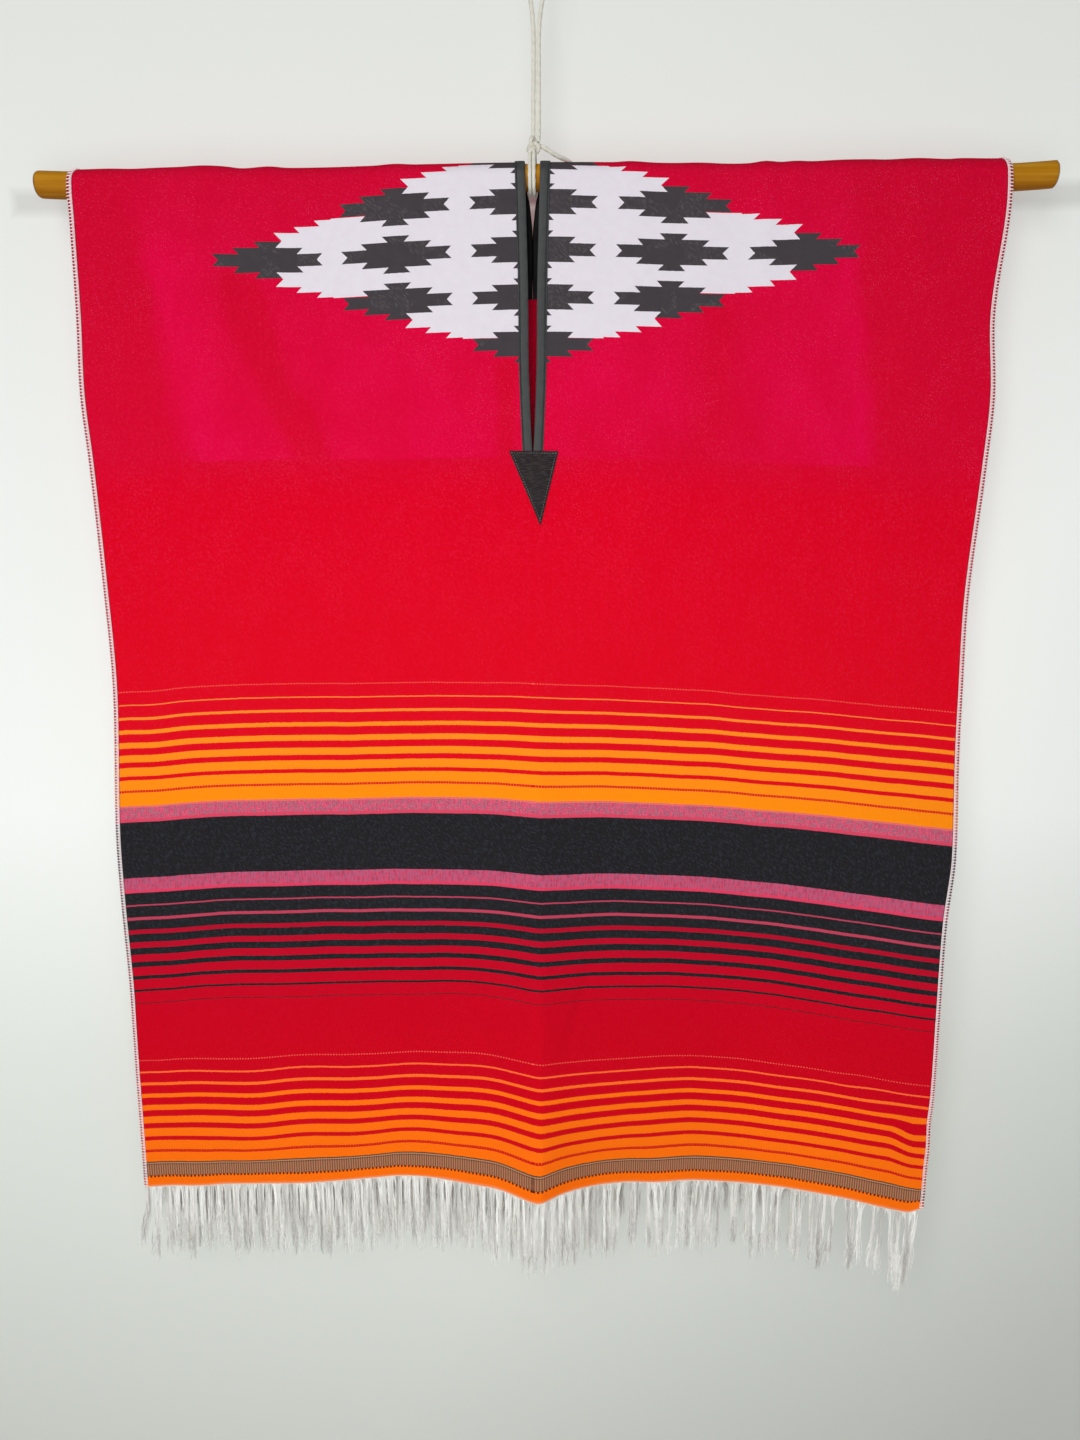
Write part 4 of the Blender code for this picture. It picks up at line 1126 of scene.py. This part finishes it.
# the fringe: the warp ends of the cloth, loose below a narrow strip
print("fringe")
fringe = {
    "pitch": 0.0105, "length": 0.090, "spread": 0.010, "sway": 0.0022, "stripHeight": 0.0012,
    "seed": {front: 7, back: 8}, "thread": {"threads": 34, "radius": 0.00040, "segments": 10, "curl": 0.028},
    "gather": (0.36, 0.76), "loose": (1.0, 0.16), "rootSpread": (1.1, 1.4), "change": (0.02, 0.11),
    "jitter": 0.36, "uneven": 0.20, "moreSway": 1.6, "leftSways": (-0.013, -0.007),
    "rightSways": (0.007, 0.002, -0.003, -0.006), "rightLonger": 1.10,
    "stripSpots": 240, "stripRagged": 0.0008, "stripRows": (0.0, 0.5, 1.0),
}


def fringeTree():
    tree, given = startTree("fringeThreads", threads=12, radius=0.0004, segments=10, curl=0.01, seed=1)

    def scaled(vector, by):
        return addNode(tree, "ShaderNodeVectorMath", {0: vector, 3: by}, operation="SCALE").outputs[0]

    def added(one, other):
        return addNode(tree, "ShaderNodeVectorMath", {0: one, 1: other}, operation="ADD").outputs[0]

    def number(name):
        return Term(named(tree, name, "FLOAT"))

    def chance(low, high, more):
        limits = {2: low, 3: high, "Seed": Term(given["seed"]) + float(more)}
        return Term(addNode(tree, "FunctionNodeRandomValue", limits, data_type="FLOAT").outputs[1])

    def store(geometry, name, value, kind="FLOAT_VECTOR"):
        row = {"Geometry": geometry, "Name": name, "Value": value}
        kept = addNode(tree, "GeometryNodeStoreNamedAttribute", row, data_type=kind, domain="POINT")
        return kept.outputs[0]

    roots = addNode(tree, "GeometryNodeMeshToPoints", {"Mesh": given["Geometry"]}).outputs[0]
    many = addNode(tree, "GeometryNodeDuplicateElements", {"Geometry": roots, "Amount": given["threads"]},
                   domain="POINT").outputs[0]
    aside = chance(-1.0, 1.0, 1)  # in a bunch most threads stand near its middle
    inward = abs(aside) ** 2.2 * calc("SIGN", aside)
    aside = (inward - aside) * number("pinch") + aside
    points = store(many, "shift", scaled(named(tree, "halfPitch"), aside))
    points = store(points, "tone", chance(0.0, 1.0, 2) * number("loose") + number("bunch"), "FLOAT")
    depth = addNode(tree, "ShaderNodeCombineXYZ", {1: chance(-0.0005, 0.0005, 3)}).outputs[0]
    moved = addNode(tree, "GeometryNodeSetPosition", {"Geometry": points,
                                                      "Offset": added(named(tree, "shift"), depth)})
    ends = {"Start": (0.0, 0.0, 0.0), "End": (0.0, 0.0, -1.0)}
    line = addNode(tree, "GeometryNodeCurvePrimitiveLine", ends)
    even = addNode(tree, "GeometryNodeResampleCurve", {"Curve": line.outputs[0], "Count": given["segments"]})
    long = number("length") * chance(0.74, 1.06, 4)
    size = addNode(tree, "ShaderNodeCombineXYZ", {0: 1.0, 1: 1.0, 2: long})
    threads = addNode(tree, "GeometryNodeInstanceOnPoints", {
        "Points": moved.outputs[0], "Instance": even.outputs[0], "Scale": size.outputs[0]})
    real = addNode(tree, "GeometryNodeRealizeInstances", {"Geometry": threads.outputs[0]})
    factor = Term(tree.nodes.new("GeometryNodeSplineParameter").outputs["Factor"])
    # threads draw together below the hem and part again like a brush near their ends
    gather = number("gather") * least(factor * 7.0, least(1.0, 2.4 - factor * 2.0))
    drawn = scaled(named(tree, "shift"), gather * -1.0)
    sway = addNode(tree, "ShaderNodeCombineXYZ", {0: number("sway") * factor ** 1.4}).outputs[0]
    spot = addNode(tree, "GeometryNodeInputPosition").outputs[0]
    swirl = {"Vector": spot, "W": number("tone"), "Scale": 32.0, "Detail": 3.0}
    wander = addNode(tree, "ShaderNodeTexNoise", swirl, noise_dimensions="4D").outputs["Color"]
    wander = {0: added(wander, (-0.5, -0.5, -0.5)), 1: (1.0, 0.35, 0.0)}
    wander = addNode(tree, "ShaderNodeVectorMath", wander, operation="MULTIPLY").outputs[0]
    wander = scaled(wander, factor ** 1.2 * given["curl"])
    bent = addNode(tree, "GeometryNodeSetPosition", {"Geometry": real.outputs[0],
                                                     "Offset": added(added(drawn, sway), wander)})
    thin = 1.0 - factor ** 3.0 * 0.35
    slim = addNode(tree, "GeometryNodeSetCurveRadius", {"Curve": bent.outputs[0], "Radius": thin})
    ring = addNode(tree, "GeometryNodeCurvePrimitiveCircle", {"Resolution": 3, "Radius": given["radius"]})
    body = addNode(tree, "GeometryNodeCurveToMesh", {
        "Curve": slim.outputs[0], "Profile Curve": ring.outputs[0], "Fill Caps": True})
    if "Scale" in body.inputs:
        tree.links.new(thin.socket, body.inputs["Scale"])
    return endTree(tree, body.outputs[0], given)


warpTree = fringeTree()


def warpFinish():
    material, shader, place = newMaterial("warpYarn", 0.75, Sheen_Weight=0.15)
    streaks = noise(place, (250.0, 250.0, 9.0), 3.0)
    stops = ((0.34, linear(200, 198, 194)), (0.50, linear(238, 236, 231)), (0.62, linear(255, 255, 252)))
    feed(shader, "Base Color", ramp(streaks, *stops))
    return material


warpYarn = warpFinish()
hemYarn = yarnFinish("hemYarn", linear(250, 208, 184), linear(226, 190, 172), 0.8)


def hemPoint(across, face, depth):
    point = clothPoint(across, cloth["hemDrop"], face, depth)
    point[..., 2] = innerPoint(across, cloth["hemDrop"], face)[..., 2]
    return point


def makeFringe(name, face, node, sizes):
    rng = np.random.default_rng(sizes["seed"][face])
    left, right = sides["left"][-1] + 0.001, sides["right"][-1] - 0.001
    count = int((right - left) / sizes["pitch"])
    pitch = (right - left) / count
    middles = left + (np.arange(count) + 0.5) * pitch
    place, reach = sizes["change"]
    drawn = smooth((middles - place) / reach)  # loose on the left, in bunches on the right
    middles = middles + rng.uniform(-1.0, 1.0, count) * sizes["jitter"] * pitch * drawn
    middles = np.clip(middles, left + 0.4 * pitch, right - 0.4 * pitch)
    roots = hemPoint(middles, face, cloth["wall"] / 2)
    roots[:, 2] -= cloth["gap"] + sizes["stripHeight"] * 0.6

    def between(pair):
        return pair[0] + (pair[1] - pair[0]) * drawn

    lengths = sizes["length"] + rng.uniform(-1.0, 1.0, count) * sizes["spread"]
    sways = rng.uniform(-1.0, 1.0, count) * sizes["sway"] * (1.0 + sizes["moreSway"] * drawn)
    sways[:2], sways[-4:] = sizes["leftSways"], sizes["rightSways"]
    lengths[-3:] *= sizes["rightLonger"]
    gathers = between(sizes["gather"]) - rng.uniform(0.0, 1.0, count) * sizes["uneven"] * drawn
    half = np.gradient(roots, axis=0)
    half *= 0.5 * (pitch / half[:, :1]) * between(sizes["rootSpread"])[:, None]
    guide = guideLine(roots, {
        "halfPitch": half, "sway": sways, "gather": gathers, "length": lengths,
        "loose": between(sizes["loose"]), "bunch": np.arange(count) * 1.7, "pinch": drawn})
    piece = runTree(name, guide, warpTree, warpYarn, {**sizes["thread"], "seed": 20 + face})
    places = np.linspace(left, right, sizes["stripSpots"])
    levels = []
    for depth in (0.0001, cloth["wall"] - 0.0001):
        line = hemPoint(places, face, depth)
        lowers = [cloth["gap"] + sizes["stripHeight"] * share for share in sizes["stripRows"]]
        level = np.stack([line - (0.0, 0.0, lower) for lower in lowers])
        level[2, :, 2] += sizes["stripRagged"] * softNoise(places * 300.0, 0.5, 31)
        levels.append(level)
    strip = shell(name + "Strip", *levels, np.ones((2, len(places) - 1), bool), hemYarn, face)
    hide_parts(node)
    return [piece, strip]


frontFringe = makeFringe("fringeFront", front, "front_fringe", fringe)
backFringe = makeFringe("fringeBack", back, "back_fringe", fringe)


# a pale wall just behind, seen only from the front, that glows with painted light and painted shade, and a
# pale floor
print("stage and lights")
stage = {
    "wall": 0.052, "floor": -1.75, "wallTop": 2.6, "half": 5.0,
    "behind": (0.46, 0.0, -1.10),  # half the width, top and foot of the shade behind the cloth
    # the rod's own shade, in the neck and at its ends: left, right, low, high, softness, share
    "shades": ((-0.012, 0.012, -0.012, 0.006, 0.003, 0.95), (0.50, 0.630, -0.014, 0.012, 0.006, 0.36),
               (-0.586, -0.50, -0.022, 0.002, 0.006, 0.36)),
}


def wallFinish(sizes):
    material, shader, place = newMaterial("paleWall", 0.95, Specular_IOR_Level=0.1)
    tree, black = shader.id_data, (0.0, 0.0, 0.0, 1.0)
    across, _, height = parts(place)
    # painted light: the wall glows, brightest near the cloth's middle height and darker above it and towards
    # the floor
    level = ramp(eased(height, -1.6, 0.25), (0.0, (0.21, 0.228, 0.20, 1.0)),
                 (0.30, (0.355, 0.385, 0.352, 1.0)), (0.48, (0.515, 0.535, 0.515, 1.0)),
                 (0.75, (0.44, 0.455, 0.44, 1.0)), (1.0, (0.36, 0.37, 0.35, 1.0)))
    # painted shade: the lower right of the wall is darker
    corner = across * 1.2 - (height * 0.8 + 1.03)
    level = mix(most(least(corner, 1.0), 0.0) * 0.45, level, black)
    half, top, foot = sizes["behind"]
    behind = least(least(half - abs(across), top - height), height - foot)
    level = mix(eased(behind, 0.0, 0.02) * 0.6, level, black)  # shaded by the cloth in front
    for left, right, low, high, soft, share in sizes["shades"]:
        inside = least(least(across - left, right - across), least(height - low, high - height))
        level = mix(eased(inside, -soft, soft) * share, level, black)
    feed(shader, "Emission Color", level)
    shader.inputs["Emission Strength"].default_value = 1.0
    shader.inputs["Base Color"].default_value = (0.415, 0.42, 0.41, 1.0)
    clear = tree.nodes.new("ShaderNodeBsdfTransparent").outputs[0]
    facing = tree.nodes.new("ShaderNodeNewGeometry").outputs["Backfacing"]
    blend = addNode(tree, "ShaderNodeMixShader", {0: facing, 1: shader.outputs[0], 2: clear})
    feed(tree.nodes["Material Output"], "Surface", blend.outputs[0])
    return material


def floorFinish():
    material, shader, place = newMaterial("paleFloor", 0.85, Specular_IOR_Level=0.2)
    clouds = noise(place, (3.0, 3.0, 3.0), 3.0)
    feed(shader, "Base Color", mix(clouds, linear(222, 222, 218), linear(230, 230, 226)))
    return material


def makeStage(sizes):
    y, floor, top, half = sizes["wall"], sizes["floor"], sizes["wallTop"], sizes["half"]
    upright = [(-half, y, floor), (half, y, floor), (half, y, top), (-half, y, top)]
    flat = [(-half, -half, floor), (half, -half, floor), (half, half, floor), (-half, half, floor)]
    wall = addMesh("wall", upright, [(0, 1, 2, 3)], wallFinish(sizes), normals=False)
    ground = addMesh("floor", flat, [(0, 1, 2, 3)], floorFinish(), normals=False)
    for flag in ("visible_diffuse", "visible_glossy", "visible_shadow", "visible_transmission"):
        setattr(wall, flag, False)
    wall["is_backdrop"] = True
    ground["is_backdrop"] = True


makeStage(stage)

lamps = {
    "key": {"place": (-1.0, -3.1, 1.2), "power": 49.0, "size": 1.8, "colour": (1.0, 0.99, 0.97)},
    "window": {"place": (-0.1, -1.5, -0.72), "power": 11.5, "size": 1.1, "colour": (0.98, 1.0, 1.0)},
    "rearLeft": {"place": (-1.5, 3.0, 1.1), "power": 52.0, "size": 1.6, "colour": (1.0, 1.0, 1.0)},
    "rearRight": {"place": (1.8, 2.6, 0.4), "power": 26.0, "size": 1.8, "colour": (1.0, 1.0, 1.0)},
}


def makeLamps(rows, aim=(0.0, 0.0, -0.55)):
    for name, row in rows.items():
        data = bpy.data.lights.new(name, "AREA")
        data.energy, data.size, data.color = row["power"], row["size"], row["colour"]
        lamp = bpy.data.objects.new(name, data)
        lamp.visible_camera = False
        lamp.location = row["place"]
        lamp.rotation_euler = (Vector(aim) - Vector(row["place"])).to_track_quat("-Z", "Y").to_euler()
        scene.collection.objects.link(lamp)
    world = bpy.data.worlds.new("softRoom")
    world.use_nodes = True
    world.node_tree.nodes["Background"].inputs["Color"].default_value = (0.93, 0.96, 0.97, 1.0)
    world.node_tree.nodes["Background"].inputs["Strength"].default_value = 0.30
    scene.world = world


makeLamps(lamps)

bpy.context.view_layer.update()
meshes = [piece.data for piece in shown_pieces() if piece.type == "MESH"]
print("triangles", sum(len(mesh.loops) - 2 * len(mesh.polygons) for mesh in meshes))
